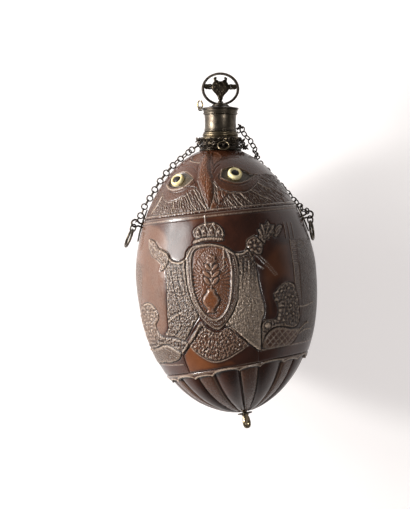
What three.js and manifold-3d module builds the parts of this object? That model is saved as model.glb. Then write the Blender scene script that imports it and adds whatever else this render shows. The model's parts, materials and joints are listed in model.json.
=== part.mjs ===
// Carved coconut flask with silver mounts, in millimetres.
// +Z is the axis of the neck and points up, the carved face looks along -Y,
// and the origin lies on the neck's axis at the level of the two side lugs.
import * as THREE from "three";
import { mergeVertices } from "three/addons/utils/BufferGeometryUtils.js";
import Module from "manifold-3d";

const wasm = await Module();
wasm.setup();

const deg = Math.PI / 180;

// Clearances
const seam = 0.1; // between soldered faces square to the neck
const seatGap = 0.3; // under a piece that lies on the curved nut or in a hole of it
const bearing = 0.1; // between two wires that hang in each other

// Nut: an egg round a slightly bent axis
const nutLength = 129.5;
const nutRadius = 43.8;
const nutShoulder = 61; // from the upper end to the widest section
const nutUpperPower = 1.65;
const nutLowerPower = 2.3;
const nutBend = 10.5 * deg; // how far the axis turns from one end to the other
const shellWall = 4.2;
const lugSection = 36.4; // from the upper end to the lugs

// Lobed lower end of the nut: round lobes and flat ones in turn
const lobePairs = 9;
const lobeStart = -21.5 * deg; // where a round lobe begins
const roundShare = 0.5625; // of a pair's width that its round lobe takes
const lobeTop = 109.7; // from the upper end to the grooves' beginning
const lobeScallop = 2.4; // how far a round lobe's top rises above that
const flatScallop = 1.5;
const lobeDepth = 2.3;
const lobeInset = 0.75;
const flatDepth = 1.5; // of the grooves beside a flat lobe
const flatInset = 1.2;
const lobeFade = 1.4;
const lobeTaper = 15; // nut radius under which the grooves get shallow

// Carving on the front, in the units of the drawn front view: the neck's axis is at 220.5
// across and the lugs are 221.75 down
const drawnUnit = nutRadius / 90.1;
const drawnAcross = 220.5;
const drawnDown = 221.75;
const reliefRise = 0.35;
const ridgeRise = 0.85;
const socketDepth = 0.9;
const ridges = [
  [[208, 151], [200.9, 161], [198, 174], [198.7, 179], [206, 180], [213, 179], [210.5, 166]],
  [[198, 183], [200.6, 191], [203.6, 199.4], [208.4, 211], [213.2, 196], [212.8, 183]],
];
const sockets = [
  [[168.5, 186.5], [175.5, 175.8], [187, 172.6], [193.8, 180], [183.5, 187.6], [172, 189]],
  [[219.5, 178.5], [225.9, 168.7], [243.7, 170.8], [256.5, 175.4], [246, 182.6], [233.7, 184.6]],
];
const ovalField = [
  [196, 249], [191.6, 262], [192.3, 280], [199.6, 304.6], [215, 317.6],
  [227.6, 304.6], [230.8, 279], [227, 253], [222, 247.6], [209, 245.6],
];
const raisedFields = {
  drapery: [
    [161.5, 249], [168.8, 253.3], [175, 260.8], [181.3, 261.2], [192.4, 246.6], [208, 243.6],
    [224.5, 246.6], [235, 252.6], [246.6, 248.6], [253.4, 261], [261.6, 300], [259.4, 346.4],
    [246.6, 341.4], [226, 355], [210, 356.9], [190, 342.6], [186, 337.6], [166.6, 333.2],
    [168.2, 301], [166.8, 269],
  ],
  crown: [
    [194, 244.4], [193.4, 231.8], [198, 226.9], [205.5, 224.2], [214.7, 223.7], [221.3, 228.3],
    [222.4, 241.4], [206.8, 241.4],
  ],
  bowLeft: [
    [150.4, 239.6], [156.4, 242], [160, 248.4], [170.6, 258], [167.4, 267], [161.6, 270.6],
    [158.8, 260], [150.6, 249],
  ],
  bowRight: [
    [245.8, 247], [252.6, 236], [257.4, 227], [263.4, 223.4], [270, 224], [272, 230.6],
    [262.6, 245.6], [256, 254.4],
  ],
  beastLeft: [
    [145, 303.3], [150.8, 302.3], [156.8, 307.6], [160, 316.6], [157.2, 323.4], [164.4, 335],
    [177.4, 336.4], [189.4, 343.2], [182, 351], [180, 357.4], [165, 361.4], [154.4, 361.8],
    [146, 340], [143, 326],
  ],
  beastRight: [
    [271.6, 293.6], [276.6, 286.8], [283.2, 281.8], [291, 282.6], [296.8, 305], [297.4, 326.6],
    [294.6, 335], [287.8, 342.4], [261.4, 345.4], [260.2, 322.4], [272.6, 317], [276, 311.4],
  ],
};

// Eyes let into the carved face
const eyeSpots = {
  left: { section: 15.2, around: -49 * deg, look: -36 * deg, rise: 34 * deg },
  right: { section: 12.9, around: 15 * deg, look: 15 * deg, rise: 40 * deg },
};
const eyeRadius = 3.4;
const eyeHole = 1.75;
const eyeThickness = 2.2;
const eyeSunk = 1.1;
const pupilRise = 0.35;

// Neck
const boreRadius = 6.3;
const tubeWall = 1.3;
const tubeHeight = 8.1;
const tubeFlare = 0.25;
const collarHeight = 9.3;
const collarFoot = 10.3; // radius of the collar where it sits on the nut
const collarRoll = 9.7; // radius of its larger moulding
const collarWaist = 9.1;
const spigotWall = 0.7;
const spigotLength = 5.4;
const lipHeight = 2.4;
const lipRadius = 8.5;

// Stopper
const plugClearance = 0.4;
const plugLength = 9;
const lidRadius = 8.75;
const lidRim = 0.9;
const lidEdge = 0.1; // how far the rim bulges
const lidCrown = 0.9;
const footRadius = 3.6;
const footHeight = 1.3;
const finialHalfWidth = 9.2;
const finialHalfHeight = 8;
const finialBand = 1.15;
const finialDepth = 2.3;
const finialTurn = 10 * deg;
const ornamentHalfWidth = 3.7;
const ornamentDepth = 3;
const stemRadius = 0.95;
const earRadius = 0.85;
const earWire = 0.32;
const earReach = 0.9; // from the rim to the middle of the eye
const jumpRadius = 2;
const jumpWire = 0.36;
const jumpOpening = 50 * deg;
const jumpTurn = 55 * deg;

// Side mounts
const plateLength = 15.5;
const plateWidth = 5;
const plateThickness = 0.8;
const lugWire = 0.5;
const lugEye = 1.7; // radius of the eye's centreline
const lugStandoff = 3; // from the plate's face to the eye's centre
const lugLegs = 0.75; // half the distance between its two legs
const lugClench = 2.2;
const linkWire = 0.42;
const linkRadius = 1.9;
const ringWire = 0.62;
const ringRadius = 4.4;
const linkTurn = 52 * deg; // twist of the small link about the way it hangs
const ringTurn = 101 * deg; // twist of the carrying ring
const sides = {
  left: { around: -90 * deg, sign: -1, lean: 22 * deg },
  right: { around: 90 * deg, sign: 1, lean: 8 * deg },
};

// Chain of round links
const chainLink = 1.38; // radius of a link's centreline
const chainSides = 6;
const chainWire = 0.26;
const chainBite = 0.16; // how deep soldered neighbours share their wire
const chainSlack = 0.22; // between the end links of two stretches
const chainLift = 1.75; // of the chain's middle above the nut
const wrapLow = 2.1; // height of the first turn above the collar's foot
const wrapStep = 2.9;
const wrapClearance = 1.85; // from the collar's waist to the middle of the upper turn
const wrapSpread = 1.5;
const openRingRadius = 2.7;
const openRingWire = 0.32;
const openRingLean = 42 * deg;

// Foot
const washerRadius = 3.6;
const washerThickness = 0.7;
const washerPetals = 8;
const dropWidth = 4.6;
const dropLength = 7;
const dropThickness = 1.9;
const dropHole = 0.85;
const dropTurn = 52 * deg;
const pegRadius = 1.1;
const pegInside = 1.2; // how far the peg shows inside the nut

// Values that follow from the sizes above
const bendRadius = nutLength / nutBend;
const nutTop = bendRadius * Math.sin(lugSection / bendRadius);
const tubeRadius = boreRadius + tubeWall;
const holeRadius = boreRadius + spigotWall + seatGap;
const seatLevel = nutPoint(sectionOfRadius(collarFoot), 0).z;
const collarLevel = seatLevel + seam;
const tubeLevel = collarLevel + collarHeight + seam;
const lipLevel = tubeLevel + tubeHeight + seam;
const lidLevel = lipLevel + lipHeight + seam;
const footLevel = lidLevel + lidRim + lidCrown + seam;
const finialLevel = footLevel + footHeight + finialHalfHeight - finialBand;
const lugFace = seatGap + plateThickness;
const lugReach = lugFace + lugStandoff;
const wireHang = lugEye - lugWire - linkWire - bearing;
const linkDrop = wireHang + linkRadius;
const ringHang = linkDrop + linkRadius - linkWire - ringWire - bearing;
const ringDrop = ringHang + ringRadius;
const linkPitch = 2 * (chainLink - chainWire);

const metal = (color, roughness) =>
  new THREE.MeshStandardMaterial({ color, roughness, metalness: 0.9 });
const materials = {
  nut: new THREE.MeshStandardMaterial({ color: 0x4a2418, roughness: 0.4 }),
  bone: new THREE.MeshStandardMaterial({ color: 0xe8dcae, roughness: 0.45 }),
  pupil: new THREE.MeshStandardMaterial({ color: 0x150c0a, roughness: 0.35 }),
  cork: new THREE.MeshStandardMaterial({ color: 0x8a6a48, roughness: 0.9 }),
  silver: metal(0x6d655c, 0.4),
  gilt: metal(0x8f7a52, 0.35),
  brass: metal(0xc29a4a, 0.3),
  steel: metal(0x4b4844, 0.45),
};

const flask = new THREE.Group();

// Radius of the nut at a distance along its axis, with all walls moved out by grow.
function eggRadius(section, grow = 0) {
  const above = section < nutShoulder;
  const reach = (above ? nutShoulder : nutLength - nutShoulder) + grow;
  const share = Math.min(1, Math.abs(section - nutShoulder) / reach);
  const power = above ? nutUpperPower : nutLowerPower;
  return (nutRadius + grow) * Math.sqrt(1 - share ** power);
}

// The distance along the axis, above the widest section, where the nut has a given radius.
function sectionOfRadius(radius) {
  const share = 1 - (radius / nutRadius) ** 2;
  return nutShoulder * (1 - share ** (1 / nutUpperPower));
}

// A place on a section of the nut: around is 0 at the front and a quarter turn at +X.
function nutPlace(section, around, radius) {
  const lean = section / bendRadius;
  const out = radius * Math.sin(around);
  return new THREE.Vector3(
    bendRadius * (1 - Math.cos(lean)) + out * Math.cos(lean),
    -radius * Math.cos(around),
    nutTop - bendRadius * Math.sin(lean) + out * Math.sin(lean),
  );
}

function nutPoint(section, around, grow = 0) {
  return nutPlace(section, around, eggRadius(section, grow));
}

// The outward direction of the nut's surface.
function nutNormal(section, around) {
  const step = 0.01;
  const down = nutPoint(section + step, around).sub(nutPoint(section - step, around));
  const side = nutPoint(section, around + step).sub(nutPoint(section, around - step));
  return side.cross(down).normalize().negate();
}

// How deep the lobes cut the egg at a place near its lower end, where place is a share of a
// pair of lobes.
function lobeCut(section, place) {
  const isRound = place <= roundShare;
  const across = isRound
    ? (2 * place) / roundShare - 1
    : (2 * (place - roundShare)) / (1 - roundShare) - 1;
  const bow = Math.sqrt(Math.max(0, 1 - across * across));
  const start = lobeTop - (isRound ? lobeScallop : flatScallop) * bow;
  const along = THREE.MathUtils.smoothstep(section, start, start + lobeFade);
  const taper = Math.min(1, eggRadius(section) / lobeTaper);
  const round = lobeInset + lobeDepth * (1 - bow);
  const flat = flatInset + flatDepth * across ** 6;
  return along * taper * (isRound ? round : flat);
}

// Angles round the nut, with their places in a pair of lobes: closer together at the grooves.
function lobeColumns() {
  const round = [0, 0.1, 0.3, 0.5, 0.7, 0.9].map((share) => share * roundShare);
  const flat = [0, 0.14, 0.5, 0.86].map((share) => roundShare + share * (1 - roundShare));
  const places = [...round, ...flat];
  return Array.from({ length: lobePairs }, (_, pair) =>
    places.map((place) => ({
      around: lobeStart + ((pair + place) * 2 * Math.PI) / lobePairs,
      place,
    })),
  ).flat();
}

// A closed surface of rings between two end points, facing out.
function closedRings(rings, first, last) {
  const count = rings[0].length;
  const spots = [first, ...rings.flat(), last];
  const index = [];
  const at = (ring, k) => 1 + ring * count + (k % count);
  for (let k = 0; k < count; k++) {
    index.push(0, at(0, k), at(0, k + 1));
    index.push(spots.length - 1, at(rings.length - 1, k + 1), at(rings.length - 1, k));
    for (let ring = 0; ring < rings.length - 1; ring++) {
      index.push(at(ring, k), at(ring + 1, k), at(ring + 1, k + 1));
      index.push(at(ring, k), at(ring + 1, k + 1), at(ring, k + 1));
    }
  }
  const geometry = new THREE.BufferGeometry().setFromPoints(spots);
  geometry.setIndex(index);
  return geometry;
}

// The egg as a closed surface, its walls moved out by grow. A column with a place in a pair
// of lobes is cut by them.
function eggGeometry(grow, columns, upperRings, lowerSections) {
  const upper = Array.from({ length: upperRings }, (_, k) => {
    const turn = ((k + 1) / upperRings) * (Math.PI / 2);
    return nutShoulder - (nutShoulder + grow) * Math.cos(turn);
  });
  const rings = [...upper, ...lowerSections].map((section) =>
    columns.map(({ around, place }) => {
      const cut = place === undefined ? 0 : lobeCut(section, place);
      return nutPlace(section, around, eggRadius(section, grow) - cut);
    }),
  );
  return closedRings(rings, nutPlace(-grow, 0, 0), nutPlace(nutLength + grow, 0, 0));
}

function evenColumns(count) {
  return Array.from({ length: count }, (_, k) => ({ around: (2 * Math.PI * k) / count }));
}

// Sections below the widest one, closer together towards the tip.
function lowerSections(grow, count) {
  return Array.from({ length: count }, (_, k) => {
    const turn = ((k + 1) / (count + 1)) * (Math.PI / 2);
    return nutShoulder + (nutLength + grow - nutShoulder) * Math.sin(turn);
  });
}

// The solid of a closed geometry.
function solid(geometry) {
  const bare = geometry.clone();
  bare.deleteAttribute("normal");
  bare.deleteAttribute("uv");
  const merged = mergeVertices(bare, 1e-4);
  return new wasm.Manifold(
    new wasm.Mesh({
      numProp: 3,
      vertProperties: merged.attributes.position.array,
      triVerts: new Uint32Array(merged.index.array),
    }),
  );
}

// The geometry of a solid.
function surface(body) {
  const mesh = body.getMesh();
  const geometry = new THREE.BufferGeometry();
  geometry.setAttribute("position", new THREE.BufferAttribute(mesh.vertProperties, 3));
  geometry.setIndex(new THREE.BufferAttribute(mesh.triVerts, 1));
  geometry.computeVertexNormals();
  return geometry;
}

function add(name, geometry, material, parent = flask) {
  const mesh = new THREE.Mesh(geometry, material);
  mesh.name = name;
  parent.add(mesh);
  return mesh;
}

// A body turned about Z, from [radius, height] corners in order from the bottom outwards.
function turned(corners, segments = 28) {
  const points = corners.map(([radius, height]) => new THREE.Vector2(radius, height));
  return new THREE.LatheGeometry(points, segments).rotateX(Math.PI / 2);
}

// A hollow body turned about Z: the outer corners from the bottom up, then a straight bore.
function turnedSleeve(outer, bore, segments = 28) {
  const bottom = outer[0][1];
  const top = outer[outer.length - 1][1];
  return turned([[bore, bottom], ...outer, [bore, top], [bore, bottom]], segments);
}

// A round bar from one point to another.
function bar(from, to, radius, segments = 12) {
  const way = to.clone().sub(from);
  const geometry = new THREE.CylinderGeometry(radius, radius, way.length(), segments);
  const up = new THREE.Vector3(0, 1, 0);
  geometry.applyQuaternion(
    new THREE.Quaternion().setFromUnitVectors(up, way.clone().normalize()),
  );
  const middle = from.clone().add(to).multiplyScalar(0.5);
  return geometry.translate(middle.x, middle.y, middle.z);
}

// A round wire along a curve.
function wire(curve, radius, steps, corners = 6) {
  const section = new THREE.Shape();
  section.absarc(0, 0, radius, 0, 2 * Math.PI, false);
  return new THREE.ExtrudeGeometry(section, {
    steps,
    extrudePath: curve,
    curveSegments: corners / 2,
    bevelEnabled: false,
  });
}

// The frame of a side mount: out of the nut, along its surface towards the neck, and across.
function mountFrame(side) {
  const out = nutNormal(lugSection, side.around);
  const across = new THREE.Vector3(0, -side.sign, 0);
  const up = new THREE.Vector3().crossVectors(across, out).multiplyScalar(side.sign);
  const foot = nutPoint(lugSection, side.around);
  return { out, up, across, foot, sign: side.sign };
}

// A point in the plane that holds a mount's outward and upward directions.
function mountPoint(frame, out, up) {
  const point = frame.foot.clone().addScaledVector(frame.out, out);
  return point.addScaledVector(frame.up, up);
}

// A prism through the nut's front half with an outline of the drawn front view.
function drawnPrism(outline) {
  const spots = outline.map(
    ([across, down]) =>
      new THREE.Vector2((across - drawnAcross) * drawnUnit, (drawnDown - down) * drawnUnit),
  );
  const depth = nutRadius + 2 * shellWall;
  const prism = new THREE.ExtrudeGeometry(new THREE.Shape(spots), {
    depth,
    bevelEnabled: false,
  });
  return solid(prism.rotateX(Math.PI / 2));
}

// The carving: fields left standing on the egg, and fields sunk into it.
function carve(body, egg) {
  const raised = (outlines, rise) =>
    outlines.map(drawnPrism).reduce((a, b) => a.add(b)).intersect(egg(rise));
  const sunk = (outlines, depth) =>
    outlines.map(drawnPrism).reduce((a, b) => a.add(b)).subtract(egg(-depth));
  body = body.add(raised(Object.values(raisedFields), reliefRise));
  body = body.subtract(sunk([ovalField], 0));
  body = body.add(raised(ridges, ridgeRise));
  return body.subtract(sunk(sockets, socketDepth));
}

// The nut: hollow, lobed below, with its mouth, pockets for the eyes and holes for the mounts.
function nut() {
  const plain = [0.2, 0.42, 0.65, 0.85].map((share) => nutShoulder + share * (lobeTop - nutShoulder));
  const start = lobeTop - lobeScallop;
  const lobed = [0, 0.08, 0.17, 0.26, 0.4, 0.56, 0.72, 0.86, 0.95];
  const rows = [...plain, ...lobed.map((share) => start + share * (nutLength - start))];
  const columns = lobeColumns();
  const egg = (grow) => solid(eggGeometry(grow, columns.map(({ around }) => ({ around })), 11, rows));
  let body = carve(solid(eggGeometry(0, columns, 11, rows)), egg);
  const inner = eggGeometry(-shellWall, evenColumns(24), 5, lowerSections(-shellWall, 5));
  body = body.subtract(solid(inner));
  const above = new THREE.Vector3(0, 0, seatLevel);
  const roof = bar(above, above.clone().setZ(nutTop + nutRadius), nutRadius, 8);
  const inside = new THREE.Vector3(0, 0, seatLevel - 2 * shellWall - spigotLength);
  body = body.subtract(solid(roof));
  body = body.subtract(solid(bar(inside, above.clone().setZ(nutTop), holeRadius, 24)));
  for (const spot of Object.values(eyeSpots)) {
    const { centre, axis } = eyeAxis(spot);
    const floor = centre.clone().addScaledVector(axis, -eyeSunk - seatGap);
    const outside = centre.clone().addScaledVector(axis, eyeThickness + 2 * eyeRadius);
    body = body.subtract(solid(bar(floor, outside, eyeRadius + seatGap, 16)));
  }
  for (const side of Object.values(sides)) body = body.subtract(lugSlot(mountFrame(side)));
  const tip = nutPlace(nutLength + seatGap, 0, 0);
  const top = nutPlace(nutLength - 2 * shellWall, 0, 0);
  return surface(body.subtract(solid(bar(top, tip, pegRadius + seatGap))));
}

// The centre of an eye on the nut and the direction in which it looks.
function eyeAxis(spot) {
  const flat = Math.cos(spot.rise);
  const axis = new THREE.Vector3(
    flat * Math.sin(spot.look),
    -flat * Math.cos(spot.look),
    Math.sin(spot.rise),
  );
  return { centre: nutPoint(spot.section, spot.around), axis };
}

// A bone ring with a rounded face and the dark boss in its hole.
function eye(name, spot) {
  const { centre, axis } = eyeAxis(spot);
  const seat = new THREE.Group();
  seat.position.copy(centre.clone().addScaledVector(axis, -eyeSunk));
  seat.quaternion.setFromUnitVectors(new THREE.Vector3(0, 0, 1), axis);
  flask.add(seat);
  const ring = [
    [eyeRadius, 0],
    [eyeRadius, eyeThickness * 0.6],
    [eyeRadius * 0.9, eyeThickness * 0.92],
    [eyeRadius * 0.72, eyeThickness],
    [eyeHole, eyeThickness * 0.86],
  ];
  const bore = eyeHole;
  add(
    "eye_ring_" + name,
    turned([[bore, 0], ...ring, [bore, 0]], 20),
    materials.bone,
    seat,
  );
  const boss = eyeHole - seam;
  const crown = eyeThickness * 0.86 + pupilRise;
  const dome = [
    [0, 0],
    [boss, 0],
    [boss, crown * 0.7],
    [boss * 0.7, crown * 0.92],
    [0, crown],
  ];
  add("eye_pupil_" + name, turned(dome, 16), materials.pupil, seat);
}

// The collar with its two rolls, its foot on the nut and its spigot in the mouth.
function neckCollar() {
  const level = (share) => collarLevel + collarHeight * share;
  const spigot = boreRadius + spigotWall;
  const outer = [
    [spigot, collarLevel - spigotLength],
    [spigot, collarLevel],
    [collarFoot, collarLevel],
    [collarFoot, level(0.06)],
    [collarWaist + 0.4, level(0.24)],
    [collarWaist, level(0.42)],
    [collarRoll - 0.25, level(0.55)],
    [collarRoll, level(0.64)],
    [collarRoll - 0.3, level(0.72)],
    [tubeRadius + 0.85, level(0.76)],
    [tubeRadius + 1.15, level(0.84)],
    [tubeRadius + 0.8, level(0.92)],
    [tubeRadius + 0.3, level(1)],
  ];
  return turnedSleeve(outer, boreRadius);
}

// The tube above the collar, with a thin bead at its foot.
function neckTube() {
  const bead = 0.3;
  const outer = [
    [tubeRadius, tubeLevel],
    [tubeRadius + bead, tubeLevel + bead],
    [tubeRadius + bead, tubeLevel + 2.2 * bead],
    [tubeRadius, tubeLevel + 3.4 * bead],
    [tubeRadius - 0.05, tubeLevel + tubeHeight * 0.6],
    [tubeRadius + tubeFlare, tubeLevel + tubeHeight],
  ];
  return turnedSleeve(outer, boreRadius);
}

// The rim of the tube: a bead under a plain flaring band.
function neckLip() {
  const outer = [
    [tubeRadius + tubeFlare + 0.15, lipLevel],
    [lipRadius - 0.25, lipLevel + lipHeight * 0.16],
    [lipRadius - 0.1, lipLevel + lipHeight * 0.34],
    [lipRadius - 0.3, lipLevel + lipHeight * 0.48],
    [lipRadius, lipLevel + lipHeight],
  ];
  return turnedSleeve(outer, boreRadius);
}

// The cap: a thin rim over the lip, rising to the foot of the finial.
function stopperLid() {
  const profile = [
    [0, lidLevel],
    [lidRadius, lidLevel],
    [lidRadius + lidEdge, lidLevel + lidRim * 0.5],
    [lidRadius - lidEdge, lidLevel + lidRim],
    [footRadius + 1.6, lidLevel + lidRim + lidCrown * 0.7],
    [footRadius + 0.6, lidLevel + lidRim + lidCrown],
    [0, lidLevel + lidRim + lidCrown],
  ];
  return turned(profile);
}

// The plug under the cap, tapering a little downwards.
function stopperPlug() {
  const radius = boreRadius - plugClearance;
  const top = lidLevel - seam;
  const profile = [
    [0, top - plugLength],
    [radius * 0.9, top - plugLength],
    [radius * 0.96, top - plugLength + radius * 0.12],
    [radius, top],
    [0, top],
  ];
  return turned(profile, 28);
}

// The round foot that carries the finial.
function stopperFoot() {
  const profile = [
    [0, footLevel],
    [footRadius + 0.5, footLevel],
    [footRadius, footLevel + footHeight * 0.45],
    [footRadius * 0.72, footLevel + footHeight],
    [0, footLevel + footHeight],
  ];
  return turned(profile, 24);
}

// An upright oval about the finial's centre, in the XZ plane, with a depth along Y.
function ovalPrism(halfWidth, halfHeight, depth, segments) {
  const outline = new THREE.Shape();
  outline.absellipse(0, 0, halfWidth, halfHeight, 0, 2 * Math.PI, false, 0);
  const geometry = new THREE.ExtrudeGeometry(outline, {
    depth,
    bevelEnabled: false,
    curveSegments: segments,
  });
  return geometry.translate(0, 0, -depth / 2).rotateX(Math.PI / 2);
}

// The oval frame of the finial, resting in a notch of its own on the foot.
function finialRing() {
  const outer = solid(ovalPrism(finialHalfWidth, finialHalfHeight, finialDepth, 22));
  const inner = solid(
    ovalPrism(finialHalfWidth - finialBand, finialHalfHeight - finialBand, 2 * finialDepth, 22),
  );
  const foot = new THREE.BoxGeometry(4 * finialHalfWidth, 4 * finialDepth, finialHalfHeight);
  foot.translate(0, 0, -finialHalfHeight * 1.5 + finialBand + seam - 0.001);
  return surface(outer.subtract(inner).subtract(solid(foot)));
}

// The cast ornament: a knobbed shield on a stem, with two horns and two scrolled arms.
function finialOrnament() {
  const inside = finialHalfHeight - finialBand - seatGap;
  const shield = new THREE.Shape();
  const half = ornamentHalfWidth;
  shield.moveTo(-half * 0.3, -inside * 0.72);
  shield.quadraticCurveTo(-half * 1.05, -inside * 0.1, -half, inside * 0.22);
  shield.quadraticCurveTo(-half * 0.95, inside * 0.5, -half * 0.62, inside * 0.68);
  shield.lineTo(half * 0.62, inside * 0.68);
  shield.quadraticCurveTo(half * 0.95, inside * 0.5, half, inside * 0.22);
  shield.quadraticCurveTo(half * 1.05, -inside * 0.1, half * 0.3, -inside * 0.72);
  const plate = new THREE.ExtrudeGeometry(shield, {
    depth: ornamentDepth,
    bevelEnabled: false,
    curveSegments: 5,
  });
  plate.translate(0, 0, -ornamentDepth / 2).rotateX(Math.PI / 2);
  const pillow = new THREE.SphereGeometry(1, 12, 8);
  pillow.scale(half * 1.5, ornamentDepth / 2, inside * 1.05);
  let body = solid(plate).intersect(solid(pillow));
  const stem = bar(
    new THREE.Vector3(0, 0, -finialHalfHeight + finialBand + 2 * seam),
    new THREE.Vector3(0, 0, -inside * 0.6),
    stemRadius,
    8,
  );
  body = body.add(solid(stem));
  for (const sign of [-1, 1]) {
    const horn = new THREE.QuadraticBezierCurve3(
      new THREE.Vector3(sign * half * 0.4, 0, inside * 0.5),
      new THREE.Vector3(sign * half * 0.95, 0, inside * 0.72),
      new THREE.Vector3(sign * half * 0.7, 0, inside * 0.93),
    );
    const arm = new THREE.TorusGeometry(half * 0.24, half * 0.13, 4, 7);
    arm.rotateX(Math.PI / 2);
    const reach = finialHalfWidth - finialBand - seatGap;
    const rod = bar(
      new THREE.Vector3(sign * half * 0.7, 0, inside * 0.16),
      new THREE.Vector3(sign * reach * 0.98, 0, inside * 0.16),
      half * 0.13,
      6,
    );
    body = body.add(solid(wire(horn, half * 0.17, 4, 4)));
    for (const place of [0.66, 0.84]) {
      body = body.add(solid(arm.clone().translate(sign * reach * place, 0, inside * 0.16)));
    }
    body = body.add(solid(rod));
    for (const [across, up] of [
      [0.42, 0.4],
      [0.36, -0.12],
    ]) {
      for (const face of [-1, 1]) {
        const knob = new THREE.OctahedronGeometry(half * 0.32, 0);
        knob.translate(sign * half * across, face * ornamentDepth * 0.38, inside * up);
        body = body.add(solid(knob));
      }
    }
  }
  return surface(body);
}

// The small ear on the cap's left edge, an arch that lies with both feet against the rim.
function stopperEar() {
  const arch = [-1, 1].map((sign) => new THREE.Vector3(earReach, 0, sign * earRadius * 0.8));
  const round = [-75, -45, -15, 15, 45, 75].map((turn) => {
    const out = -earRadius * Math.cos(turn * deg);
    return new THREE.Vector3(out, 0, earRadius * Math.sin(turn * deg));
  });
  const route = new THREE.CatmullRomCurve3([arch[0], ...round, arch[1]]);
  return wire(route, earWire, 10);
}

// The middle of the ear's eye, on the stopper's own axes.
function earPlace() {
  return new THREE.Vector3(-lidRadius - lidEdge - seam - earReach, 0, lidLevel + lidRim * 0.5);
}

// The broken ring that hangs in the ear: its plane holds the way it leans.
function jumpRing() {
  const arc = 2 * Math.PI - jumpOpening;
  const points = Array.from({ length: 15 }, (_, k) => {
    const turn = -Math.PI / 2 - arc / 2 + (arc * k) / 14;
    return new THREE.Vector3(jumpRadius * Math.cos(turn), 0, jumpRadius * Math.sin(turn));
  });
  return wire(new THREE.CatmullRomCurve3(points), jumpWire, 18, 4);
}

function stopper() {
  add("stopper_lid", stopperLid(), materials.silver);
  add("stopper_plug", stopperPlug(), materials.cork);
  add("stopper_foot", stopperFoot(), materials.silver);
  const finial = new THREE.Group();
  finial.position.z = finialLevel;
  finial.rotation.z = finialTurn;
  flask.add(finial);
  add("finial_ring", finialRing(), materials.steel, finial);
  add("finial_ornament", finialOrnament(), materials.gilt, finial);
  const ear = add("stopper_ear", stopperEar(), materials.silver);
  ear.position.copy(earPlace());
  const ring = add("stopper_jump_ring", jumpRing(), materials.brass);
  const hang = -earRadius + earWire + jumpWire + bearing;
  ring.position.copy(earPlace());
  ring.position.z += hang + jumpRadius;
  ring.rotation.z = jumpTurn;
}

// The slot for a lug's two legs, through plate and wall.
function lugSlot(frame) {
  const deep = -2 * shellWall;
  const high = lugReach + lugEye;
  const radius = lugWire + seatGap;
  const drill = (up) =>
    solid(bar(mountPoint(frame, deep, up), mountPoint(frame, high, up), radius, 8));
  return drill(lugLegs).add(drill(-lugLegs));
}

// The leaf-shaped plate, bent to the nut.
function sidePlate(frame) {
  const [tall, wide] = [plateLength / 2, plateWidth / 2];
  const leaf = new THREE.Shape();
  leaf.moveTo(0, -tall);
  leaf.quadraticCurveTo(wide * 0.75, -tall * 0.8, wide * 0.5, -tall * 0.42);
  leaf.quadraticCurveTo(wide * 1.25, -tall * 0.25, wide, 0);
  leaf.quadraticCurveTo(wide * 1.25, tall * 0.25, wide * 0.5, tall * 0.42);
  leaf.quadraticCurveTo(wide * 0.75, tall * 0.8, 0, tall);
  leaf.quadraticCurveTo(-wide * 0.75, tall * 0.8, -wide * 0.5, tall * 0.42);
  leaf.quadraticCurveTo(-wide * 1.25, tall * 0.25, -wide, 0);
  leaf.quadraticCurveTo(-wide * 1.25, -tall * 0.25, -wide * 0.5, -tall * 0.42);
  leaf.quadraticCurveTo(-wide * 0.75, -tall * 0.8, 0, -tall);
  const depth = 4 * plateLength * plateThickness;
  const blank = new THREE.ExtrudeGeometry(leaf, {
    depth: Math.min(depth, nutRadius / 2),
    bevelEnabled: false,
    curveSegments: 4,
  });
  const basis = new THREE.Matrix4();
  const across = new THREE.Vector3().crossVectors(frame.up, frame.out);
  basis.makeBasis(across, frame.up, frame.out);
  basis.setPosition(mountPoint(frame, -plateLength / 4, 0));
  blank.applyMatrix4(basis);
  const outside = solid(eggGeometry(lugFace, evenColumns(54), 12, lowerSections(0, 4)));
  const inside = solid(eggGeometry(seatGap, evenColumns(54), 12, lowerSections(0, 4)));
  const plate = solid(blank).intersect(outside).subtract(inside);
  return surface(plate.subtract(lugSlot(frame)));
}

// The lug: an eye whose two legs go through plate and wall and are spread inside.
function sideLug(frame) {
  const inside = -shellWall - seatGap - 2 * lugWire;
  const neck = Math.asin(lugLegs / lugEye);
  const centre = lugReach;
  const half = [];
  half.push([inside - 0.3, lugLegs + lugClench]);
  half.push([inside, lugLegs + lugClench * 0.5]);
  half.push([inside + lugWire, lugLegs]);
  half.push([inside + 3 * lugWire, lugLegs]);
  half.push([0, lugLegs]);
  half.push([centre - lugEye * 1.25, lugLegs]);
  for (const turn of [neck * 1.5, 50 * deg, 80 * deg, 110 * deg, 145 * deg]) {
    half.push([centre - lugEye * Math.cos(turn), lugEye * Math.sin(turn)]);
  }
  const upper = half.map(([out, up]) => mountPoint(frame, out, up));
  const lower = half.map(([out, up]) => mountPoint(frame, out, -up)).reverse();
  const nose = mountPoint(frame, centre + lugEye, 0);
  return wire(new THREE.CatmullRomCurve3([...upper, nose, ...lower]), lugWire, 36);
}

// The direction in which a side's link and ring hang.
function hangWay(side) {
  return new THREE.Vector3(side.sign * Math.sin(side.lean), 0, -Math.cos(side.lean));
}

// A ring of round wire that hangs along a direction, twisted about it.
function hangingRing(side, radius, thickness, turn, drop, frame, counts) {
  const ring = new THREE.TorusGeometry(radius, thickness, ...counts);
  const way = hangWay(side);
  const front = new THREE.Vector3(0, -1, 0);
  const basis = new THREE.Matrix4();
  basis.makeBasis(new THREE.Vector3().crossVectors(way, front), way, front);
  ring.rotateY(side.sign * turn);
  ring.applyMatrix4(basis);
  const centre = mountPoint(frame, lugReach, 0).addScaledVector(way, drop);
  return ring.translate(centre.x, centre.y, centre.z);
}

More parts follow.
